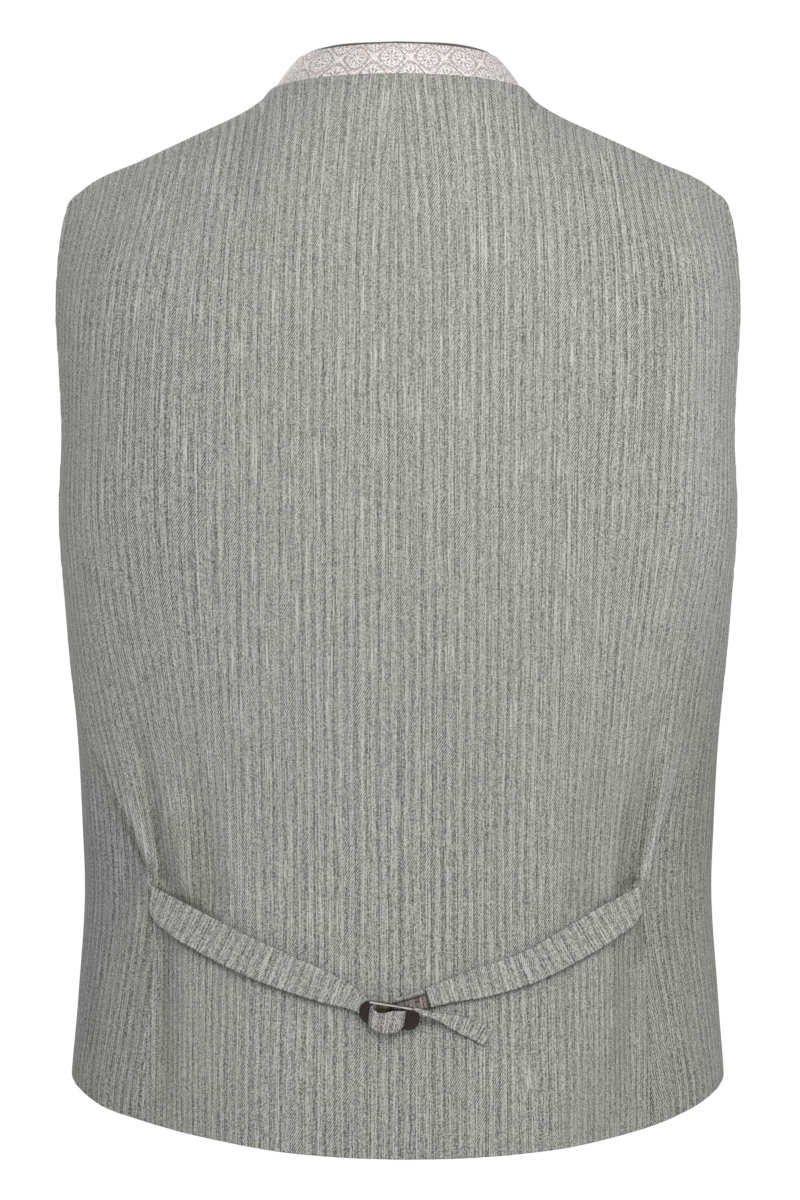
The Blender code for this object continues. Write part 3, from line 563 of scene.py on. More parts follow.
# %% Noise, colours and materials
def noise(x, y, width, length, seed, detail=0.0):
    """Noise about 0, stretched to blots of a width along x and a length along y."""
    place = add_node(x.tree, "CombineXYZ", enumerate((x / width, y / length, seed)))
    inputs = {"Scale": 1.0, "Detail": detail, "Vector": place}
    return add_node(x.tree, "TexNoise", inputs, "Fac") - 0.5


def blend(share, low, high, **settings):
    """A colour between two: low where the share is 0, high where it is 1."""
    inputs = {0: share, 6: low, 7: high}
    return add_node(share.tree, "Mix", inputs, 2, data_type="RGBA", **settings)


def new_material(name, constants):
    """A material, its tree and its shader's sockets; what is the same all over is set on those."""
    material = bpy.data.materials.new(name)
    material.use_nodes = True
    sockets = material.node_tree.nodes["Principled BSDF"].inputs
    for socket, value in constants.items():
        feed(sockets[socket], value)
    return material, material.node_tree, sockets


def place_on(tree, kind="UVMap", output=0, **settings):
    """Three wires: where the shaded point is, in metres, by one of Blender's coordinate nodes."""
    split = add_node(tree, "SeparateXYZ", {0: add_node(tree, kind, (), output, **settings)})
    return [Wire(tree, socket) for socket in split.socket.node.outputs]


def finish(sockets, colour, height, distance):
    """The colour, and bump: a height in shares of a distance in metres tilts the surface."""
    feed(sockets["Base Color"], colour)
    bump = add_node(colour.tree, "Bump", {"Distance": distance, "Height": height})
    feed(sockets["Normal"], bump)


print("what a wire can do:", [name for name in vars(Wire) if not name.startswith("__")])

# %% [markdown]
# ## The striped slub cloth
# The cloth is woven from uneven yarns, 0.66 mm wide: thicker and thinner, lighter and darker along
# their length. Four noises, from long streaks to short ones, give each yarn its tones. A fine wave
# at a slant gives the twill, and a few peaks of one more noise are the pale slubs. An image would
# repeat and blur; formulas stay sharp at any distance.

# %% Cloth materials
STRIPE_REPEAT = 0.0059  # one light and one dark stripe
WANDER = 0.0010  # how far a stripe strays to one side and the other, about
YARN = 0.00066  # from one yarn to the next
PICK = 0.00062  # from one crossing thread to the next
YARN_STEP = 1.73  # from one yarn to the next in the noise, far enough to be unlike
STREAKS = ((0.160, 0.46), (0.040, 0.42), (0.014, 0.42), (0.0050, 0.44))  # length and share
NEIGHBOUR = 0.6  # share of the next yarn's streak that is taken off
TWILL = 0.00110  # from one slanting rib to the next
TWILL_ACROSS = (0.003, 0.012)  # squares of the distances from the centre between which it grows
BAND_SHARE, FINE_BAND_SHARE = 0.092, 0.03
GRAIN_SHARE, TWILL_SHARE, SLUB_SHARE = 0.62, 0.38, 0.55
SIDES = (0.004, 0.022)  # squares of the distances from the centre where the contrast grows
WAIST = (-0.360, -0.470)  # and the heights
DEEPEST_SHADE = (0.78, 0.78, 0.765)  # painted shade: what is left of each colour where the painted shade is 1
COOL_SHADE_TINT = (0.93, 0.94, 1.00)  # and where the painted cool shade is 1, where the side turns away from the light
STRAP_SHADE_TINT = (0.16, 0.14, 0.12)  # painted shadow along a strap's edges and in its end's crease; at the stitches a dark seam and painted shade


def cloth_material(name, dark, light, seed, panel=False):
    """Stripe, yarn streaks, twill and slubs as one tone, which picks a colour from dark to light.

    A yarn's number is its place across divided by the yarn's width, rounded down. Each streak
    keeps one tone over a whole yarn, less a share of its neighbour's, so yarns stay straight
    and crisp.
    """
    constants = {"Sheen Weight": 0.05, "Sheen Roughness": 0.5, "Specular IOR Level": 0.2}
    material, tree, sockets = new_material(name, {"Roughness": 0.88, **constants})
    across, along, _ = place_on(tree, uv_map="flat")
    wander = across + noise(across, along, 0.025, 0.09, seed + 2.9) * WANDER
    band = (wander.sine(STRIPE_REPEAT) * 1.7).math("MINIMUM", 1.0).math("MAXIMUM", -1.0)
    yarn, pick = (wander / YARN).math("FLOOR"), (along / PICK).math("FLOOR")
    tone = band * BAND_SHARE + wander.sine(STRIPE_REPEAT / 3, 0.25) * FINE_BAND_SHARE
    for n, (length, share) in enumerate(STREAKS):
        place = (1 / YARN_STEP, length, seed + 7.3 * n + 0.37)
        beside = noise(yarn + 1.0, along, *place)
        tone = tone + (noise(yarn, along, *place) - beside * NEIGHBOUR) * share
    crossing = add_node(tree, "CombineXYZ", enumerate((yarn, pick, seed)))
    grain = add_node(tree, "TexWhiteNoise", {"Vector": crossing}, "Value") - 0.5
    patch = noise(across, along, 0.016, 0.045, seed + 31.9, detail=1.0)
    if panel:
        patch = patch + (across * across).ramp(*TWILL_ACROSS) * 0.07
    twill = (wander * 0.86 + along * 0.51).sine(TWILL) * (patch.ramp(0.02, 0.14) * 0.9 + 0.1)
    slub = noise(wander, along, 0.0008, 0.028, seed + 41.3).ramp(0.225, 0.29)
    tone = tone + grain * GRAIN_SHARE + twill * TWILL_SHARE + slub * SLUB_SHARE
    contrast, tints = 1.2, (("painted_strap_shade", STRAP_SHADE_TINT),)
    if panel:
        contrast = (across * across).ramp(*SIDES) * 0.24 + along.ramp(*WAIST) * 0.20 + 1.0
        tints = (("painted_shade", DEEPEST_SHADE), ("painted_cool_shade", COOL_SHADE_TINT))
    colour = blend(tone * contrast + 0.5, dark, light)
    # Each tint multiplies the colour by a painted shade read at the points: along a strap's edges,
    # or on a panel's waist, sides and folds.
    for attribute, left in tints:
        share = add_node(tree, "Attribute", (), "Fac", attribute_name=attribute)
        colour = blend(share, colour, left, blend_type="MULTIPLY", clamp_factor=False)
    finish(sockets, colour, band * 0.5 + wander.sine(YARN) * 0.5, 0.00003)
    return material


YARN_COLOURS = ((0.112, 0.112, 0.101), (0.585, 0.582, 0.546))
FOLDED_COLOURS = ((0.050, 0.042, 0.037), (0.370, 0.330, 0.295))
LOOP_COLOURS = ((0.112, 0.109, 0.101), (0.588, 0.575, 0.538))
striped_cloth = cloth_material("striped_cloth", *YARN_COLOURS, 0.0, panel=True)
belt_cloth = cloth_material("belt_cloth", *YARN_COLOURS, 60.0)
fold_cloth = cloth_material("folded_end_cloth", *FOLDED_COLOURS, 90.0)
loop_cloth = cloth_material("loop_cloth", *LOOP_COLOURS, 130.0)
print("striped cloth nodes:", len(striped_cloth.node_tree.nodes))


# %% Lining
def lining_material():
    """A plain satin: a fine cross wave and faint cloudiness on one brown-grey colour."""
    material, tree, sockets = new_material("satin_lining", {"Roughness": 0.42, "Sheen Weight": 0.1})
    across, along, _ = place_on(tree, uv_map="flat")
    cloud = noise(across, along, 0.03, 0.05, 3.0, detail=2.0)
    ribs = across.sine(0.0007) * 0.5 + along.sine(0.0004) * 0.2
    colour = blend(cloud + 0.5, (0.085, 0.075, 0.068), (0.130, 0.118, 0.108))
    finish(sockets, colour, ribs * 0.2 + cloud, 0.0002)
    return material


satin = lining_material()
print("cloth materials:", len(bpy.data.materials))

# %% [markdown]
# ## Panels
# Two backs and two fronts. Each gets its folds, puckers beside its seams where the stitches draw
# the cloth in, and rolled edges. The fronts overlap at the centre, left over right, so the right
# one dips under the left. Painted shade and painted highlights go with the folds: the waist and
# the side that turns away are painted darker, and creases too sharp for the grid are painted as
# lines of shadow and light, which is cheaper than a grid ten times as fine.

# %% Tables of painted shade and light
# By height: where the cloth turns away from the light beside the belt's left end, and how much
# painted cool shade it gets.
turning_at, turned_share_at = curves(
    (MM, MM, 1),
    (-570, 167, 0.6), (-541, 164.2, 0.9), (-500.5, 162.3, 1), (-479.5, 156.5, 1),
    (-461.5, 147.7, 1), (-447.5, 138.5, 1), (-438.5, 137, 1), (-402.5, 156.8, 1),
    (-377, 170.4, 0.8), (-343.5, 179, 0.3), (-300, 190, 0),
)
# By height: the painted shade in the middle, and toward the two sides; it grows from the waist
# down.
middle_shade_at, side_shade_at = curves(
    (MM, 1, 1),
    (-600, 0.24, 0.66), (-540, 0.24, 0.62), (-470, 0.20, 0.66), (-420, 0.08, 0.56),
    (-370, 0, 0.18), (-300, 0, 0.03), (-240, 0, 0), (14, 0, 0),
)
SHADE_ACROSS = (0.068, 0.132)
# By height: more painted shade at the right side seam.
(right_shade_at,) = curves(
    (MM, 1), (-600, 0), (-500, 0), (-450, 0.2), (-415, 0.5), (-340, 0.45), (-300, 0), (14, 0)
)
RIGHT_SHADE_ACROSS = (0.140, 0.165)
SHADOWS = (  # rows like a fold's, but the last number is a painted shadow, and below 0 a painted highlight
    (134, -445, 118, -451.5, 2.4, 0.9), (118, -451.5, 99, -461, 2.6, 1.7),
    (136.7, -448, 136.5, -510, 2, 1), (155.6, -401.4, 170, -372, 2, 1),
    (135.5, -438, 157, -399, 2, 1.8), (129.5, -440, 135, -400, 2.2, 1.2),
    (118, -448, 123, -408, 3, 0.9), (108, -454, 111, -420, 3, 0.7),
    (134.5, -430, 154.5, -383, 2.2, -1.1), (131.8, -435, 125, -400, 2, -0.6),
    (-133.5, -438.5, -156, -369, 2.2, -1.2), (-123.5, -440, -133.5, -390, 2.2, -0.6),
    (132.5, -476, 132, -530, 2.2, -0.5), (128, -480, 126.5, -550, 2.4, 0.5),
    (-131.5, -440, -119, -448, 2.6, 1.6), (-130.5, -438, -144, -375, 2.4, 1.2),
    (-118, -445, -127, -400, 2.8, 0.7), (-132.1, -458, -132.2, -486, 2.2, 1.3),
    (-148, -458, -147, -500, 3, 0.6), (12.5, -508.2, 1, -510.5, 3.4, 4.2),
    (-11.5, -514, -21.5, -515, 2, 1.6),
)
SHADOW_FADING = (-0.2, 0.1, 0.6, 1.3)
# Bounds of the painted shade: below 0 it is a painted highlight.
LIGHTEST, DARKEST = -0.6, 4
FOLD_SHADE = 150.0  # painted shade per metre of a trough's depth, and painted light per metre of a ridge's height
TURNED_AWAY_SHADE = 0.12  # painted shade, deeper and cooler, where the left side turns away from the light
print("painted creases:", len(SHADOWS), "shade at the waist's sides:", side_shade_at(-0.45))


# %% Rows, columns and small waves
PANEL_COLUMNS = 112
LOWER_ROWS = 132
UPPER_ROWS = 118
EDGE_STEPS = np.array([0.00012, 0.00035, 0.0007, 0.0012]) / 0.27  # as shares of a panel's size
EDGE_RADIUS = 0.00085  # of a turned edge
SEAM_RADIUS = 0.00040  # beside a seam pressed flat
PUCKER = 0.00016
PUCKER_REACH = 0.007
PUCKER_LENGTHS = (0.0093, 0.041, 0.0171)
RIPPLE = 0.00030


def with_edges(even):
    """Even places, with closer ones beside each end for a turned edge."""
    first, last, clear = even[0], even[-1], EDGE_STEPS[-1] * 1.5
    inner = even[(even > first + clear) & (even < last - clear)]
    return np.concatenate([[first], first + EDGE_STEPS, inner, (last - EDGE_STEPS)[::-1], [last]])


def panel_places(face):
    """Columns from the centre to the side and rows from the hem to the top, closer at the edges."""
    start = SEAM_GAP / 2 / 0.2 if face is BACK else -LAP_COLUMN
    across = with_edges(np.linspace(start, 1, PANEL_COLUMNS))
    if face is FRONT:
        across[np.argmin(np.abs(across))] = 0.0
    upper = 1.5 - 0.5 * np.cos(np.linspace(0, math.pi, UPPER_ROWS + 1)[1:])
    return across, with_edges(np.concatenate([np.linspace(0, 1, LOWER_ROWS + 1), upper]))


def puckers(distance, run, seed):
    """Uneven little waves beside a seam: exp(-distance / reach) x a sum and product of sines."""
    first, second, third = (
        np.sin(2 * math.pi * run / length + (n + 1) * seed)
        for n, length in enumerate(PUCKER_LENGTHS)
    )
    return PUCKER * (first * second + 0.6 * third) * np.exp(-distance / PUCKER_REACH)


def ripples(x, z, seed):
    """Uneven slow and quick waves over the whole panel, each a product of two sines."""
    slow = np.sin(x * 61 + z * 9 + seed) * np.sin(z * 23 - x * 17 + 2 * seed)
    quick = np.sin(x * 163 - z * 21 + 3 * seed) * np.sin(z * 47 + x * 29 + seed)
    return RIPPLE * (slow + 0.45 * quick)


print("columns and rows of a back:", [len(places) for places in panel_places(BACK)])


# %% Make the panels
def painted_shade(points, folded):
    """Painted shade and painted cool shade: a table by height for the middle and one for the sides,
    and a soft step where the left side turns away from the light, painted cooler too. Troughs get
    painted shade and ridges painted highlights, and so does each line of painted shadow or
    highlight, by exp(-(distance / width)^2).
    """
    x, y, z = np.moveaxis(points, -1, 0)
    behind, toward_side = ease(-0.080, 0.005, y), ease(*SHADE_ACROSS, np.abs(x))
    total = middle_shade_at(z) * (1 - toward_side) + side_shade_at(z) * toward_side
    total = total + right_shade_at(z) * ease(*RIGHT_SHADE_ACROSS, -x) * behind
    # The left side, where it turns away from the light, gets a painted, cooler shade.
    turned_away = ease(-0.002, 0.003, x - turning_at(z)) * turned_share_at(z) * behind
    # Painted shade in the folds' troughs and painted highlights on their ridges.
    total = total + TURNED_AWAY_SHADE * turned_away - FOLD_SHADE * folded
    lines = lines_sum(points, SHADOWS, partial(hump, *SHADOW_FADING), scale=1)
    return np.clip(total + lines * ease(*BACK_TO_FRONT, y), LIGHTEST, DARKEST), turned_away


def make_panel(node, face, side, seed):
    """The plain face moved outward by its folds, puckers and ripples, less its turned edges.

    Gives the piece and its outer grid.
    """
    across, up = panel_places(face)
    hem_at = hem_left_at if side > 0 else hem_right_at
    points = panel_points(across, up, face, hem_at) * [side, 1, 1]
    out = panel_normals(across, up, face, hem_at) * [side, 1, 1]
    row_run, column_run = run_along(points, 1), run_along(points, 0)
    from_centre, from_side = row_run, row_run[:, -1:] - row_run
    from_hem, from_top = column_run, column_run[-1:] - column_run
    depth = folded = fold_depth(points)
    if face is FRONT and side < 0:
        beside = ease(LAP_FADING[0] * LAP_COLUMN, LAP_FADING[1] * LAP_COLUMN, across)
        depth = depth - (WALL + LIE_GAP) * (1 - beside)
    depth = depth + puckers(from_side, column_run, seed)
    depth = depth + puckers(from_hem, row_run, seed + 2) * 0.8
    depth = depth + puckers(from_top, row_run, seed + 4) * 0.6
    inside = ease(0, 0.02, from_side) * ease(0, 0.02, from_centre) * ease(0, 0.03, from_top)
    depth = depth + ripples(points[..., 0], points[..., 2], seed) * inside
    radii = (SEAM_RADIUS if face is BACK else EDGE_RADIUS, EDGE_RADIUS, EDGE_RADIUS, SEAM_RADIUS)
    turned = np.max(list(map(rolled, (from_centre, from_side, from_hem, from_top), radii)), axis=0)
    outer = points + out * (depth - turned)[..., None]
    inner = points + out * (depth - WALL + turned)[..., None]
    if face is BACK:
        outer[:, 0, 0] = inner[:, 0, 0] = side * SEAM_GAP / 2
    piece = Piece(node + "_cloth", node, "striped_cloth")
    flat = flat_layout(points, out, side, face)
    made = cloth_wall(piece, outer, inner, out, [striped_cloth, satin], flat)
    # Painted shade and painted cool shade, which the striped cloth reads by name.
    for name, values in zip(("painted_shade", "painted_cool_shade"), painted_shade(points, folded)):
        add_share(made, name, values, values)
    print("cut:", np.round(np.ptp(flat.reshape(-1, 2), axis=0), 3))
    return made, outer


back_left, left_grid = make_panel("back_left", BACK, 1, 0.4)
back_right, right_grid = make_panel("back_right", BACK, -1, 1.9)
front_left, _ = make_panel("front_left", FRONT, 1, 3.1)
front_right, _ = make_panel("front_right", FRONT, -1, 4.6)

# %% [markdown]
# ## The collar's woven pattern
# The collar is a jacquard: a pale ground with small medallions in an ogee trellis, a traditional
# layout of its kind. Each repeat is worked out round its own centre: distance and direction from
# the centre give petals and rings, and a trellis line runs where two cosines cancel. The second
# row is set half a repeat along, as such patterns are.

# %% Collar materials
REPEAT_ALONG = 0.0213  # from one medallion to the next, round the neck
MEDALLION_PLACE = 0.0036  # of the middle one, from the centre back
REPEAT_UP = 0.0215
MEDALLION_HEIGHT = 0.0104  # of the middle row above the neck seam
RAYS, DOTS, LEAVES = 8.0, 12.0, 14.0  # round one medallion
STAR_REACH = (0.0013, 0.0041)  # the rays' inner and outer ends, from the medallion's centre
RING_REACH, WREATH_REACH = 0.0049, 0.0070
STROKE = 0.00165  # from one fine stroke to the next
STROKE_STRENGTH, FLECK_STRENGTH, WORN_BY = 0.84, 0.62, 0.28
THREAD_COLOUR = (0.150, 0.115, 0.115)
print("medallions round the neck:", round(0.479 / REPEAT_ALONG, 1))


def medallion(across, up):
    """Shares of dark for one row of medallions: a rayed star, a ring of dots and a wreath."""
    reach = (across * across + up * up).math("SQRT")
    turn = up.math("ARCTAN2", across)
    ray = (turn * RAYS).math("COSINE").ramp(-0.3, 0.7)
    inside, outside = STAR_REACH
    star = ray * (reach - inside).ramp(-0.0002, 0.0004) * (outside - reach).ramp(-0.0003, 0.0006)
    dots = (turn * DOTS).math("COSINE").ramp(-0.2, 0.5)
    ring = (reach - RING_REACH).math("ABSOLUTE").ramp(0.0006, 0.0001) * dots
    leaves = (turn * LEAVES).math("SINE").ramp(-0.2, 0.6)
    wreath = (reach - WREATH_REACH).math("ABSOLUTE").ramp(0.0007, 0.0002) * leaves
    return (star * 0.85).math("MAXIMUM", ring * 0.8).math("MAXIMUM", wreath * 0.7)


def repeat_of(value, period, shift):
    """Distance from the middle of the repeat that the value falls in."""
    return (value + (period * 0.5 - shift)).math("FLOORED_MODULO", period) - period * 0.5


# %% Jacquard
def jacquard_material():
    """Two rows of medallions with fine crossing strokes between them, on a pale ground."""
    constants = {"Roughness": 0.62, "Sheen Weight": 0.15, "Specular IOR Level": 0.35}
    material, tree, sockets = new_material("collar_jacquard", constants)
    along, up, _ = place_on(tree, uv_map="flat")
    first, second = (
        medallion(
            repeat_of(along, REPEAT_ALONG, MEDALLION_PLACE + row * REPEAT_ALONG / 2),
            repeat_of(up, REPEAT_UP, MEDALLION_HEIGHT + row * REPEAT_UP / 2),
        )
        for row in (0, 1)
    )
    wave = (along - MEDALLION_PLACE).sine(REPEAT_ALONG, 0.25)
    trellis = (wave + (up - MEDALLION_HEIGHT).sine(REPEAT_UP, 0.25)).math("ABSOLUTE")
    rising = (along + up * 0.8).sine(STROKE).ramp(0.05, 0.75)
    falling = (along - up * 0.8).sine(STROKE, 0.3).ramp(0.05, 0.75)
    near_trellis = trellis.ramp(0.95, 0.55) * (trellis - 0.10).ramp(0.0, 0.12)
    strokes = rising.math("MAXIMUM", falling) * near_trellis
    flecks = noise(along, up, 0.0011, 0.0008, 17.0).ramp(0.04, 0.16)
    worn = noise(along, up, 0.0024, 0.0024, 37.0).ramp(-0.22, 0.05) * WORN_BY + (1 - WORN_BY)
    dark = first.math("MAXIMUM", second).math("MAXIMUM", strokes * STROKE_STRENGTH) * worn
    dark = dark.math("MAXIMUM", flecks * FLECK_STRENGTH)
    ground = noise(along, up, 0.0009, 0.0009, 7.0) + 0.5
    blush = noise(along, up, 0.006, 0.005, 27.0).ramp(-0.1, 0.15)
    pale = blend(ground, (0.840, 0.800, 0.765), (0.980, 0.960, 0.930))
    pink = blend(ground, (0.850, 0.760, 0.735), (0.980, 0.910, 0.890))
    colour = blend(dark * 0.92, blend(blush, pale, pink), THREAD_COLOUR)
    floats = (along * 0.5 + up).sine(0.0006) * 0.15
    finish(sockets, colour, dark * -0.5 + ground * 0.4 + floats, 0.00012)
    return material


jacquard = jacquard_material()
print("jacquard nodes:", len(jacquard.node_tree.nodes))

# %% [markdown]
# ## Collar
# A stand collar is a band sewn to the neck seam that leans in toward the neck. The outer band is
# jacquard, and the inner one shows as a dark line along the top, because it was cut a little
# taller and rolls over the edge. Both are one formula: the neck seam, and a rise at a lean.

# %% The neck seam, and how the collar stands on it
COLLAR_WALL = 0.0016
LINING_WALL = 0.0012
# By direction: the collar's lean, how far its rise follows the neck's slope, and its height.
lean_at, follow_at, collar_height_at = curves(
    (1, 1, 1, MM),
    (0, 24, 0, 19.6), (60, 33, 0.1, 20.8), (90, 37, 0.3, 21.5), (130, 20, 0.6, 21.5),
    (173, 10, 0.6, 20.5),
)
COLLAR_END = 173.0
COLLAR_GAP = 0.0001
COLLAR_CORNER = 0.008
COLLAR_CROWN = 0.0006  # how far the band's middle stands out
LINING_RISE = (0.0020, 0.0026)  # above the outer band, at the wearer's left and right
RISE_SIDES = (6.0, 38.0, 75.0, 110.0)  # directions where it grows by half and falls back
EASED = 0.25  # share by which the band is stretched where the neck turns
EASED_FROM = 0.030  # from the centre back
EASED_SPAN = 0.055
COLLAR_COLUMNS = 360
COLLAR_ROWS = 22


def neck_seam(at):
    """The back's half ellipse up to 90 degrees from the centre back, and past it the front's."""
    reach = np.abs(at)
    back = grid(*neck_point(np.radians(np.minimum(reach, 90)), BACK))
    front = grid(*neck_point(np.radians(180 - np.maximum(reach, 90)), FRONT))
    return np.where(reach[:, None] <= 90, back, front) * grid(np.where(at < 0, -1, 1), 1, 1)


def collar_frame(direction):
    """The neck seam at directions in degrees, with the way the collar rises and its outward way."""
    seam = neck_seam(direction)
    tangent = unit(neck_seam(direction + 1.0) - neck_seam(direction - 1.0))
    inward = unit(np.cross(tangent, [0, 0, 1]))
    inward = inward * np.where(np.sum(inward * seam, axis=-1) > 0, -1, 1)[:, None]
    follow = follow_at(np.abs(direction))
    upward = unit(np.array([0, 0, 1]) - tangent * (follow * tangent[:, 2])[:, None])
    lean = np.radians(lean_at(np.abs(direction)))[:, None]
    rise = upward * np.cos(lean) + inward * np.sin(lean)
    out = unit(np.cross(rise, tangent))
    return seam, rise, out * np.where(np.sum(out * inward, axis=-1) > 0, -1, 1)[:, None]


print("lean at the centre back and the shoulders:", lean_at(0), lean_at(90))


# %% Make the collar
def make_collar_band(piece, inset, thickness, taller, material):
    """A band whose height dips along a quarter circle at its two front corners."""
    places = COLLAR_END * np.linspace(-1, 1, COLLAR_COLUMNS + 1)
    places[COLLAR_COLUMNS // 2] = 1e-6
    base, rise, out = collar_frame(places)
    run = run_along(base, 0)
    to_end = np.minimum(run, run[-1] - run)
    share = ease(-COLLAR_END, COLLAR_END, -places)
    more = taller[0] + (taller[1] - taller[0]) * share
    more = more * (1 + 0.5 * hump(*RISE_SIDES, np.abs(places)))
    height = collar_height_at(np.abs(places)) + more - rolled(to_end, COLLAR_CORNER)
    share = np.concatenate([[0, 0.01, 0.03], np.linspace(0.06, 0.94, COLLAR_ROWS), [0.97, 0.99, 1]])
    up = height * share[:, None]
    crown = COLLAR_CROWN * np.sin(math.pi * share)[:, None, None]
    middle = base - out * inset + rise * COLLAR_GAP + rise * up[..., None] + out * crown
    radius = 0.45 * thickness
    turned = np.maximum(rolled(up, radius), rolled(height - up, radius))[..., None]
    outer, inner = middle - out * turned, middle - out * (thickness - turned)
    along = run - run[len(run) // 2]
    along = along - np.sign(along) * EASED * np.clip(np.abs(along) - EASED_FROM, 0, EASED_SPAN)
    wide = np.broadcast_to(out, outer.shape)
    print("round the neck:", round(float(run[-1]), 3), "high:", round(float(height.max()), 4))
    return cloth_wall(piece, outer, inner, wide, [material], grid(along, up))


collar = make_collar_band(
    Piece("collar_band", "collar", "collar_jacquard"), 0, COLLAR_WALL, (0, 0), jacquard
)
collar_lining = make_collar_band(
    Piece("collar_inner_band", "collar_lining", "collar_lining"),
    COLLAR_WALL + GAP, LINING_WALL, LINING_RISE, satin,
)

# %% [markdown]
# ## Belt straps
# A belt strap is a turned tube of cloth pressed flat: thicker along its two edges, where the seam
# allowances lie, and a little hollow between. Its profile is carried along a line that lies on the
# back. The cloth is cut across its stripes, so they run over the strap and not along it.

# %% Strap tables
BELT_WALL = 0.0020
TAIL_WALL = 0.0014
PRESSED = 0.00022  # how much thinner a strap is in the middle
STRAP_WAVES = 0.00012
STITCH_AT = 0.1340  # along the right strap, where its end is folded over and sewn
STITCH_WIDTH = 0.0006
STITCH_DEPTH = 0.0011
CREASE_DEPTH = 0.0013
FOLDED_UNDER = 0.0006  # how much lower the folded end lies past its crease
# Each row: across, height, width and lift in millimetres, and how upright the strap's end stands.
BELT_LEFT = (
    (135, -451.8, 18.5, 0, 0.8), (119, -462, 20.7, 1.8, 0.2), (85.8, -478.9, 20.7, 1.8, 0),
    (63.9, -488.2, 19.5, 1.4, 0), (42.1, -496.2, 17.2, 1, 0), (31.3, -500.3, 14.5, 1, 0),
    (23.5, -503.8, 11.2, 1.6, 0), (16.2, -508.8, 7.8, 2.2, 0),
)
BELT_RIGHT = (
    (-132, -452, 18, 0, 0.8), (-119, -460.4, 20.5, 1.4, 0.2), (-88, -478.2, 19.2, 1.4, 0),
    (-66.1, -488.4, 17.8, 1.2, 0), (-44.3, -494.8, 16.2, 1, 0), (-33.4, -497.6, 13.8, 0.6, 0),
    (-22.6, -500.7, 11.6, 0.8, 0), (-15, -503, 10.6, 1, 0), (-6, -504.8, 8.1, 1.6, 0),
    (3, -506.5, 5, 3, 0),
)
BELT_TAIL = (
    (-8.1, -508.7, 1.4, 7, 0), (-10.8, -509.6, 2.4, 7.4, 0), (-14, -510.8, 3, 6.8, 0),
    (-18.3, -512, 3.4, 5, 0), (-22.6, -513, 4.4, 3.4, 0), (-26.9, -514.5, 6.4, 2.2, 0),
    (-31.2, -516, 8.2, 1.3, 0), (-36, -518, 9.3, 0.7, 0), (-40.8, -519.9, 9.7, 0.4, 0),
    (-48.4, -524.3, 9.6, 0.3, 0),
)


print("belt ends, across:", BELT_LEFT[0][0], BELT_RIGHT[0][0], "mm")


# %% Lying on the back
def back_face(across, height):
    """The plain back, and its outward directions from two pairs of points close together."""

    def plain(x, z):
        y = back_at(z) * (1 - np.abs(x / half_width_at(z)) ** SQUARENESS) ** (1 / SQUARENESS)
        return grid(x, y, z)

    wide = plain(across + CLOSE, height) - plain(across - CLOSE, height)
    rise = plain(across, height + CLOSE) - plain(across, height - CLOSE)
    return plain(across, height), unit(np.cross(rise, wide))


def grid_tree(*grids):
    """A search tree over the faces of grids of points that are all of one size."""
    index = np.arange(grids[0][..., 0].size).reshape(grids[0].shape[:2])
    faces = np.concatenate([grid_cells(index + n * index.size) for n in range(len(grids))])
    return BVHTree.FromPolygons(np.concatenate(grids).reshape(-1, 3).tolist(), faces.tolist())


def lie_on(cloth, points, out, lift):
    """Each point moved onto the cloth's nearest place, then off it by its lift."""
    nearest = [cloth.find_nearest(point)[0] for point in points.reshape(-1, 3).tolist()]
    return np.array(nearest).reshape(points.shape) + out * lift[..., None]


back_cloth = grid_tree(left_grid, right_grid)
print("depth of the back at the slide:", round(float(back_face(0.0, -0.51)[0][1]), 4))


# %% The sewn end
def near_stitches(run):
    """exp(-(distance / width)^2) from the row of stitches."""
    return np.exp(-(((run - STITCH_AT) / STITCH_WIDTH) ** 2))


def crease_place(run):
    """How far off the strap's line the folded end's crease runs."""
    return 0.0022 - 0.10 * (run - STITCH_AT)


def near_crease(run, offset, width):
    """exp(-(distance / width)^2) from the folded end's crease, which starts past the stitches."""
    past = ease(STITCH_AT, STITCH_AT + 0.002, run)
    return past * np.exp(-(((offset - crease_place(run)) / width) ** 2))


def sewn_fold(run, offset):
    """A row of stitches sunk across the strap, and past it one long crease under the upper edge."""
    past = ease(STITCH_AT, STITCH_AT + 0.002, run)
    lower = FOLDED_UNDER * past * ease(0, 0.002, crease_place(run) - offset)
    ribs = STRAP_WAVES * past * np.sin(run * 5200 + offset * 900)
    crease = CREASE_DEPTH * near_crease(run, offset, 0.0008)
    return ribs - STITCH_DEPTH * near_stitches(run) - crease - lower


def stitch_and_crease_shade(run, offset):
    """Painted shade at the row of stitches, which is partly a dark seam, and painted shade in the
    crease under the upper edge past it.
    """
    return near_stitches(run) * (offset < 0.0045) + 0.9 * near_crease(run, offset, 0.0006)


print("the crease runs off the line by:", crease_place(STITCH_AT), "to", crease_place(0.153))


# %% Make the straps
def read_evenly(scales, rows, count):
    """Every column of a table, read at even steps from its first row to its last."""
    knots, at = np.arange(float(len(rows))), np.linspace(0, len(rows) - 1, count)
    return [smooth(knots, column, at) for column in columns(scales, rows)]


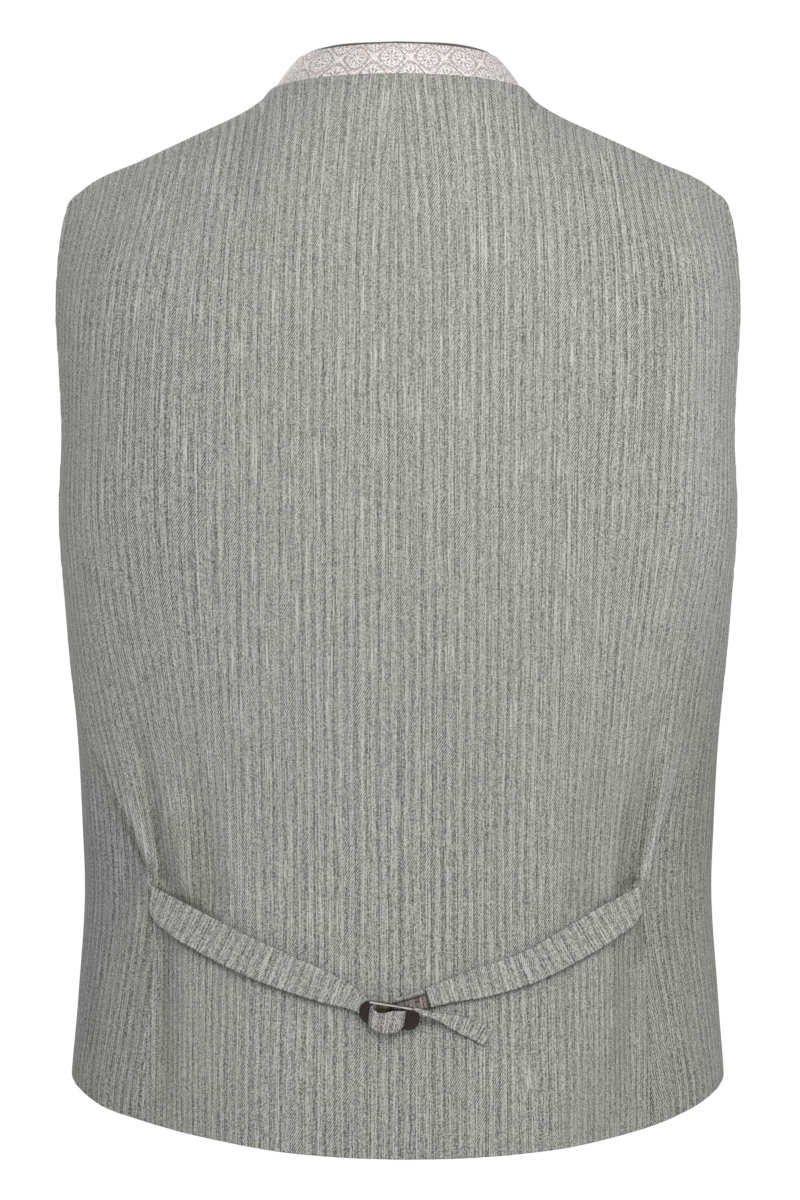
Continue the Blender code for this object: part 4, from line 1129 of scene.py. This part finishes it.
def make_strap(piece, rows, stations, lines, thickness=BELT_WALL, sewn=False):
    """A strap along its table's line. Across it, at share s from -1 to 1, the edges are round:
    both faces bend in by a quarter circle, and the middle is pressed thinner by a cosine.
    """
    x, z, width, lift, upright = read_evenly((MM, MM, MM, MM, 1), rows, stations)
    along = unit(np.stack([np.gradient(x), np.gradient(z)], axis=-1))
    share = np.sin(np.linspace(-math.pi / 2, math.pi / 2, lines))
    share = 0.55 * share + 0.45 * np.linspace(-1, 1, lines)
    offset = width[:, None] * share / 2
    line_x = x[:, None] - along[:, 1:] * offset * (1 - upright)[:, None]
    plain, out = back_face(line_x, z[:, None] + along[:, :1] * offset)
    under = lie_on(back_cloth, plain, out, LIE_GAP + lift[:, None] + 0 * share)
    run = run_along(under[:, lines // 2], 0)[:, None]
    to_edge = width[:, None] / 2 - np.abs(offset)
    to_end = np.minimum(run, run[-1] - run)
    radius = 0.48 * thickness
    turned = np.maximum(rolled(to_edge, radius), rolled(to_end, radius))
    pressed = PRESSED * np.cos(math.pi / 2 * share) ** 2
    waves = STRAP_WAVES * np.sin(run * 610 + 3 * share) * np.sin(run * 173 + 1.3)
    top = thickness - turned - pressed + waves + (sewn_fold(run, offset) if sewn else 0)
    outer, inner = under + out * top[..., None], under + out * turned[..., None]
    made = cloth_wall(piece, outer, inner, out, [belt_cloth], grid(run, offset))
    # Painted shadow along the strap's rounded edges, deeper along the lower one.
    low = offset * np.sign(along[:, :1]) < 0
    painted_strap_shade = ease(0.15, 0.9, rolled(to_edge, radius) / radius) * np.where(low, 1.0, 0.6)
    if sewn:
        painted_strap_shade = painted_strap_shade + stitch_and_crease_shade(run, offset)
        made.data.materials.append(fold_cloth)
        past = (run[:-1] > STITCH_AT) & (offset[:-1, :-1] < crease_place(run[:-1]))
        slots = np.zeros(len(made.data.polygons), np.int32)
        slots[: past.size] = past.ravel()
        made.data.polygons.foreach_set("material_index", slots)
    # The inner grid, which lies on the back, is painted in full shade.
    add_share(made, "painted_strap_shade", np.clip(painted_strap_shade, 0, 1), np.ones_like(painted_strap_shade))
    print("long:", round(float(run[-1, 0]), 4))
    return made


belt_left = make_strap(Piece("belt_left_strap", "belt_left", "striped_cloth"), BELT_LEFT, 200, 22)
belt_right = make_strap(
    Piece("belt_right_strap", "belt_right", "striped_cloth"), BELT_RIGHT, 300, 28, sewn=True
)
belt_tail = make_strap(
    Piece("belt_tail_end", "belt_tail", "striped_cloth"), BELT_TAIL, 90, 20, thickness=TAIL_WALL
)

# %% [markdown]
# ## The slide
# The slide is a stamped oval plate with a slot and a bar across it. Its outline is a rounded
# rectangle, once outside and once for the slot, and a small rounded profile is carried round
# between the two. That gives even edges that catch the light, as polished metal does.

# %% The slide's sizes and metal
BUCKLE_MIDDLE = (0.0045, -0.5119)
BUCKLE_TURN = math.radians(9.5)
BUCKLE_TILT = math.radians(18)
BUCKLE_LIFT = 0.0062
BUCKLE_WALL = 0.0012
Opening = namedtuple("Opening", "length width corner")
BUCKLE_OUTSIDE = Opening(0.0328, 0.0130, 0.0060)
BUCKLE_INSIDE = Opening(0.0196, 0.0096, 0.0030)
SLOT_SHIFT = 0.0014  # the slot sits a little toward the left strap
BUCKLE_BAR = 0.0008
BAR_FLATNESS = 0.6
PROFILE_POWER = 0.5  # of the cosine and sine, so that the plate's profile is nearly square
HIGHLIGHT_FROM, HIGHLIGHT_TO = (0.0048, 0.0053), 0.0062  # a painted highlight along the upper edge, from the middle up
HIGHLIGHT_ACROSS = (0.000150, 0.000120)  # squares of the distances where it fades out


def metal_material():
    """Gunmetal: dark and glossy, with brushed streaks, dull spots and a painted highlight along the
    upper edge.
    """
    material, tree, sockets = new_material("gunmetal", {"Metallic": 0.9})
    x, z, _ = place_on(tree, uv_map="flat")
    brushed = noise(x, z, 0.006, 0.0004, 2.0, detail=2.0)
    spots = noise(x, z, 0.0012, 0.0012, 9.0, detail=2.0)
    dark = blend(brushed + spots * 0.6 + 0.5, (0.030, 0.022, 0.020), (0.085, 0.064, 0.058))
    # A painted highlight: a pale colour along the slide's upper edge, fading toward its ends.
    upper = z.ramp(*HIGHLIGHT_FROM) * (HIGHLIGHT_TO - z).ramp(0.0, 0.0004)
    colour = blend(upper * (x * x).ramp(*HIGHLIGHT_ACROSS), dark, (0.850, 0.800, 0.760))
    feed(sockets["Roughness"], spots * 0.25 + brushed * 0.15 + 0.30)
    finish(sockets, colour, brushed, 0.00003)
    return material


gunmetal = metal_material()
print("slide:", BUCKLE_OUTSIDE, "slot:", BUCKLE_INSIDE)


# %% Make the slide
def buckle_frame():
    """The slide's middle on the back, and its directions along, across and out."""
    (middle,), (normal,) = back_face(*(np.array([value]) for value in BUCKLE_MIDDLE))
    along = np.array([math.cos(BUCKLE_TURN), 0, math.sin(BUCKLE_TURN)])
    along = unit(along - normal * (along @ normal))
    upright = np.cross(along, normal)
    upward = upright * math.cos(BUCKLE_TILT) + normal * math.sin(BUCKLE_TILT)
    out = normal * math.cos(BUCKLE_TILT) - upright * math.sin(BUCKLE_TILT)
    return middle + normal * BUCKLE_LIFT, np.stack([along, upward, out])


def rounded_outline(opening, steps=18):
    """Four quarter circles at a rectangle's corners, as along and across."""
    corner = opening.corner
    ends = np.array([opening.length / 2 - corner, opening.width / 2 - corner])
    points = []
    for *signs, start in ((1, 1, 0), (-1, 1, 90), (-1, -1, 180), (1, -1, 270)):
        turn = np.radians(start + 90 * np.linspace(0, 1, steps + 1))
        points.append(ends * signs + corner * grid(np.cos(turn), np.sin(turn)))
    return np.concatenate(points)


def hoop_faces(count, around, start=0, joined=False):
    """Faces of rings of points, joined into a hoop or left open for caps at the two ends."""
    index = start + np.arange(count * around).reshape(count, around)
    index = np.concatenate([index, index[:, :1]], axis=1)
    return grid_cells(np.concatenate([index, index[:1]]) if joined else index)


def make_slide():
    """The plate's profile is |t|^4 + |s|^4 = 1 between slot and outline; the bar is a tube."""
    middle, directions = buckle_frame()
    outside = rounded_outline(BUCKLE_OUTSIDE)
    inside = rounded_outline(BUCKLE_INSIDE) + [SLOT_SHIFT, 0]
    turn = np.linspace(0, 2 * math.pi, 20, endpoint=False)
    waves = (np.cos(turn), np.sin(turn))
    share, rise = (np.sign(wave) * np.abs(wave) ** PROFILE_POWER for wave in waves)
    ring = (outside + inside)[:, None] / 2 + (outside - inside)[:, None] / 2 * share[:, None]
    plate = grid(ring[..., 0], ring[..., 1], rise * BUCKLE_WALL / 2).reshape(-1, 3)
    reach = np.linspace(-1, 1, 12)[:, None] * (BUCKLE_OUTSIDE.width + BUCKLE_INSIDE.width) / 4
    bar = grid(BUCKLE_BAR * np.cos(turn), reach, BAR_FLATNESS * BUCKLE_BAR * np.sin(turn))
    points = np.concatenate([plate, bar.reshape(-1, 3)])
    faces = [
        hoop_faces(len(outside), len(turn), joined=True),
        hoop_faces(len(reach), len(turn), len(plate))[:, ::-1],
    ]
    piece = Piece("slide", "buckle", "dark_metal")
    add_piece(piece, middle + points @ directions, faces, [gunmetal], points[:, :2])


make_slide()

# %% [markdown]
# ## The strap through the slide
# The left strap comes up through one slot, turns over the bar and goes back down. What shows in
# front hangs as a soft, rounded flap. The ribbon's path is a short table in the slide's own
# directions, with the height of its top and bottom edge at each place.

# %% Make the loop
LOOP_WALL = 0.0012
LOOP = (  # along, out, top and bottom, in millimetres
    (10, -2.6, 3.7, -4.2), (10.4, -0.4, 3.9, -5.2), (9.6, 2, 3.4, -6.6), (7, 3, 1.4, -8.3),
    (3.4, 3.5, 1.5, -9.3), (-0.6, 3.6, 3.2, -9.2), (-4.5, 3.1, 3.9, -7.9), (-7.1, 2, 4, -5.6),
    (-8, -0.2, 3.9, -4.2), (-8, -2.6, 3.7, -3.6),
)


def make_loop():
    """A ribbon: the path's place, shifted by half the wall to each side, at heights between."""
    middle, directions = buckle_frame()
    along, out, top, bottom = read_evenly([MM] * 4, LOOP, 90)
    path = grid(along, out)
    way = unit(np.gradient(path, axis=0))
    down = 0.5 - 0.5 * np.cos(np.linspace(0, math.pi, 24))[:, None]
    height = top + (bottom - top) * down
    run = run_along(path, 0)
    to_end = np.minimum(run, run[-1] - run)
    to_edge = np.minimum(top - height, height - bottom)
    radius = 0.48 * LOOP_WALL
    half = LOOP_WALL / 2 - np.maximum(rolled(to_edge, radius), rolled(to_end, radius))
    front, back = (
        middle + grid(along + shift * way[:, 1], height, out - shift * way[:, 0]) @ directions
        for shift in (half, -half)
    )
    piece = Piece("belt_loop_ribbon", "belt_loop", "striped_cloth")
    print("long:", round(float(run[-1]), 4))
    return cloth_wall(piece, front, back, unit(front - back), [loop_cloth], grid(run, height))


belt_loop = make_loop()

# %% [markdown]
# ## Buttons
# The fronts close with seven horn buttons: a turned rim, a dished middle and four holes. A lathe
# profile read by the distance from the centre gives rim and dish, and four small dips are the
# holes. The front is out of sight from behind, so the buttons stay simple.

# %% The buttons' sizes and horn
BUTTON_RADIUS = 0.0088
HOLE_RADIUS = 0.00075
HOLE_PLACE = 0.0016  # from the middle, across and up
HOLE_DEPTH = 0.0009
DISH_HEIGHT, RIM_HEIGHT, EDGE_HEIGHT = 0.0021, 0.0009, 0.0010
RIM_FROM, RIM_SPAN = 0.0050, 0.0019
FOOT = 0.80  # the lower disc's share of the radius


def horn_material():
    """Dark horn: streaks of brown and grey under a gloss."""
    material, tree, sockets = new_material("dark_horn", {"Roughness": 0.28, "Coat Weight": 0.3})
    x, _, z = place_on(tree, "TexCoord", "Object")
    streaks = noise(x + z * 0.3, z, 0.0016, 0.012, 4.0, detail=3.0)
    colour = blend(streaks * 1.6 + 0.5, (0.020, 0.016, 0.013), (0.160, 0.120, 0.085))
    finish(sockets, colour, streaks, 0.00004)
    return material


horn = horn_material()
print("horn nodes:", len(horn.node_tree.nodes))


# %% Make the buttons
def fan(tip, ring, after):
    """Triangles from one point to the steps of a ring."""
    return np.stack([np.full(len(ring), tip), ring, after], axis=1)


def make_button(node):
    """A polar grid: height over the distance r from the centre, closed below by a flat disc."""
    low, high = (np.array(corner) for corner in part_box(node))
    centre = (low + high) / 2
    solid = np.array([vertex.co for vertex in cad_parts[node].data.vertices])
    _, _, axes = np.linalg.svd(solid - solid.mean(axis=0), full_matrices=False)
    out = axes[2] * (-1 if axes[2][1] > 0 else 1)
    upward = unit(np.cross(out, [1.0, 0, 0]))
    turned = np.stack([np.cross(upward, out), upward, out])
    r = np.concatenate([np.linspace(0.0002, 0.0058, 22), np.linspace(0.0062, BUTTON_RADIUS, 14)])
    rise, fall = (np.clip((r - RIM_FROM - n * RIM_SPAN) / RIM_SPAN, 0, 1) for n in (0, 1))
    top = DISH_HEIGHT + RIM_HEIGHT * np.sin(math.pi / 2 * np.clip(rise - fall**2 * 1.2, -1, 1))
    around = np.linspace(0, 2 * math.pi, 48, endpoint=False)
    x, y = r[:, None] * np.cos(around), r[:, None] * np.sin(around)
    hole = np.hypot(np.abs(x) - HOLE_PLACE, np.abs(y) - HOLE_PLACE) / HOLE_RADIUS
    rings = grid(x, y, top[:, None] - HOLE_DEPTH * (1 - ease(0.6, 1.1, hole)))
    edge = grid(x[-1], y[-1], EDGE_HEIGHT)
    rings = np.concatenate([rings, [edge, edge * [FOOT, FOOT, 0.0]]])
    tips = [[0, 0, rings[0, :, 2].mean()], [0, 0, 0]]
    count, first = rings[..., 0].size, np.arange(len(around))
    last = first + count - len(around)
    faces = [
        hoop_faces(len(rings), len(around))[:, ::-1],
        fan(count, first, np.roll(first, -1)),
        fan(count + 1, np.roll(last, -1), last),
    ]
    base = centre + out * np.min((solid - centre) @ out)
    points = base + np.concatenate([rings.reshape(-1, 3), tips]) @ turned
    add_piece(Piece("horn_" + node, node, "dark_horn"), points, faces, [horn])


for n in range(1, 8):
    make_button(f"button_{n}")

# %% [markdown]
# ## The cloth's areas
# Each panel printed the widest and longest of its flat cut when it was made. Here one face of the
# wall of each of these panels, bands and straps gives its area, in square metres.

for made in (back_left, front_left, collar, collar_lining, belt_left, belt_right, belt_tail):
    area = sum(face.area for face in made.data.polygons) / 2
    print(made.name, "one face of its wall:", round(area, 5), "square metres")

# %% [markdown]
# ## Floor, light and camera
# Soft light from a large lamp to the upper right, a fill from the left, and a bright surround keep
# the shading gentle, so the weave does the talking. The floor is plain and pale. The camera looks
# straight at the back from 2.2 m with a long lens, which keeps the outline nearly undistorted.

# %% Floor
FLOOR_HEIGHT = -1.20
FLOOR_SIZE = 5.0
bpy.ops.mesh.primitive_plane_add(size=FLOOR_SIZE, location=(0, 0, FLOOR_HEIGHT))
floor = bpy.context.object
floor.name = "floor"
pale_floor, _, _ = new_material("pale_floor", {"Roughness": 0.9, "Base Color": (0.90, 0.90, 0.90)})
floor.data.materials.append(pale_floor)
print("floor:", FLOOR_SIZE, "m wide at", FLOOR_HEIGHT)

# %% Light
SURROUND = 0.52  # brightness of the surround as light; the camera sees it as plain white
AIM = (0, 0, -0.25)
LAMP_SIZE = 0.8
world = bpy.data.worlds.new("studio")
bpy.context.scene.world = world
world.use_nodes = True
sky = world.node_tree
seen = add_node(sky, "LightPath", (), "Is Camera Ray")
level = add_node(sky, "MapRange", {"To Min": SURROUND, "To Max": 1.0, "Value": seen}, "Result")
feed(sky.nodes["Background"].inputs["Color"], (1.0, 1.0, 1.0))
feed(sky.nodes["Background"].inputs["Strength"], level)


def add_lamp(name, place, energy, colour):
    """A square area lamp at a place, turned to face AIM."""
    lamp = bpy.data.lights.new(name, "AREA")
    lamp.size, lamp.energy, lamp.color = LAMP_SIZE, energy, colour
    made = bpy.data.objects.new(name, lamp)
    made.location = place
    x, y, z = np.array(place) - np.array(AIM)
    made.rotation_euler = (math.atan2(math.hypot(x, y), z), 0, math.atan2(x, -y))
    bpy.context.scene.collection.objects.link(made)


add_lamp("key", (-0.10, 1.36, 0.50), 10.8, (1.0, 1.0, 1.0))
add_lamp("side", (-1.29, 0.90, 0.03), 3.0, (1.0, 0.99, 0.97))
add_lamp("front", (0.50, -1.50, 0.35), 9.0, (1.0, 1.0, 1.0))
print("lamps:", len(bpy.data.lights))

# %% Camera
camera = bpy.data.cameras.new("camera")
camera.lens = 116.4
camera.sensor_width = 36
camera_object = bpy.data.objects.new("camera", camera)
camera_object.location = (-0.0011, 2.2, -0.288)
camera_object.rotation_euler = (math.pi / 2, 0, math.pi)
bpy.context.scene.collection.objects.link(camera_object)
bpy.context.scene.camera = camera_object
bpy.context.scene.view_settings.view_transform = "Standard"
bpy.context.scene.cycles.use_denoising = False  # it would wipe out the weave
print("camera:", tuple(camera_object.location))

# %% [markdown] ## Finish
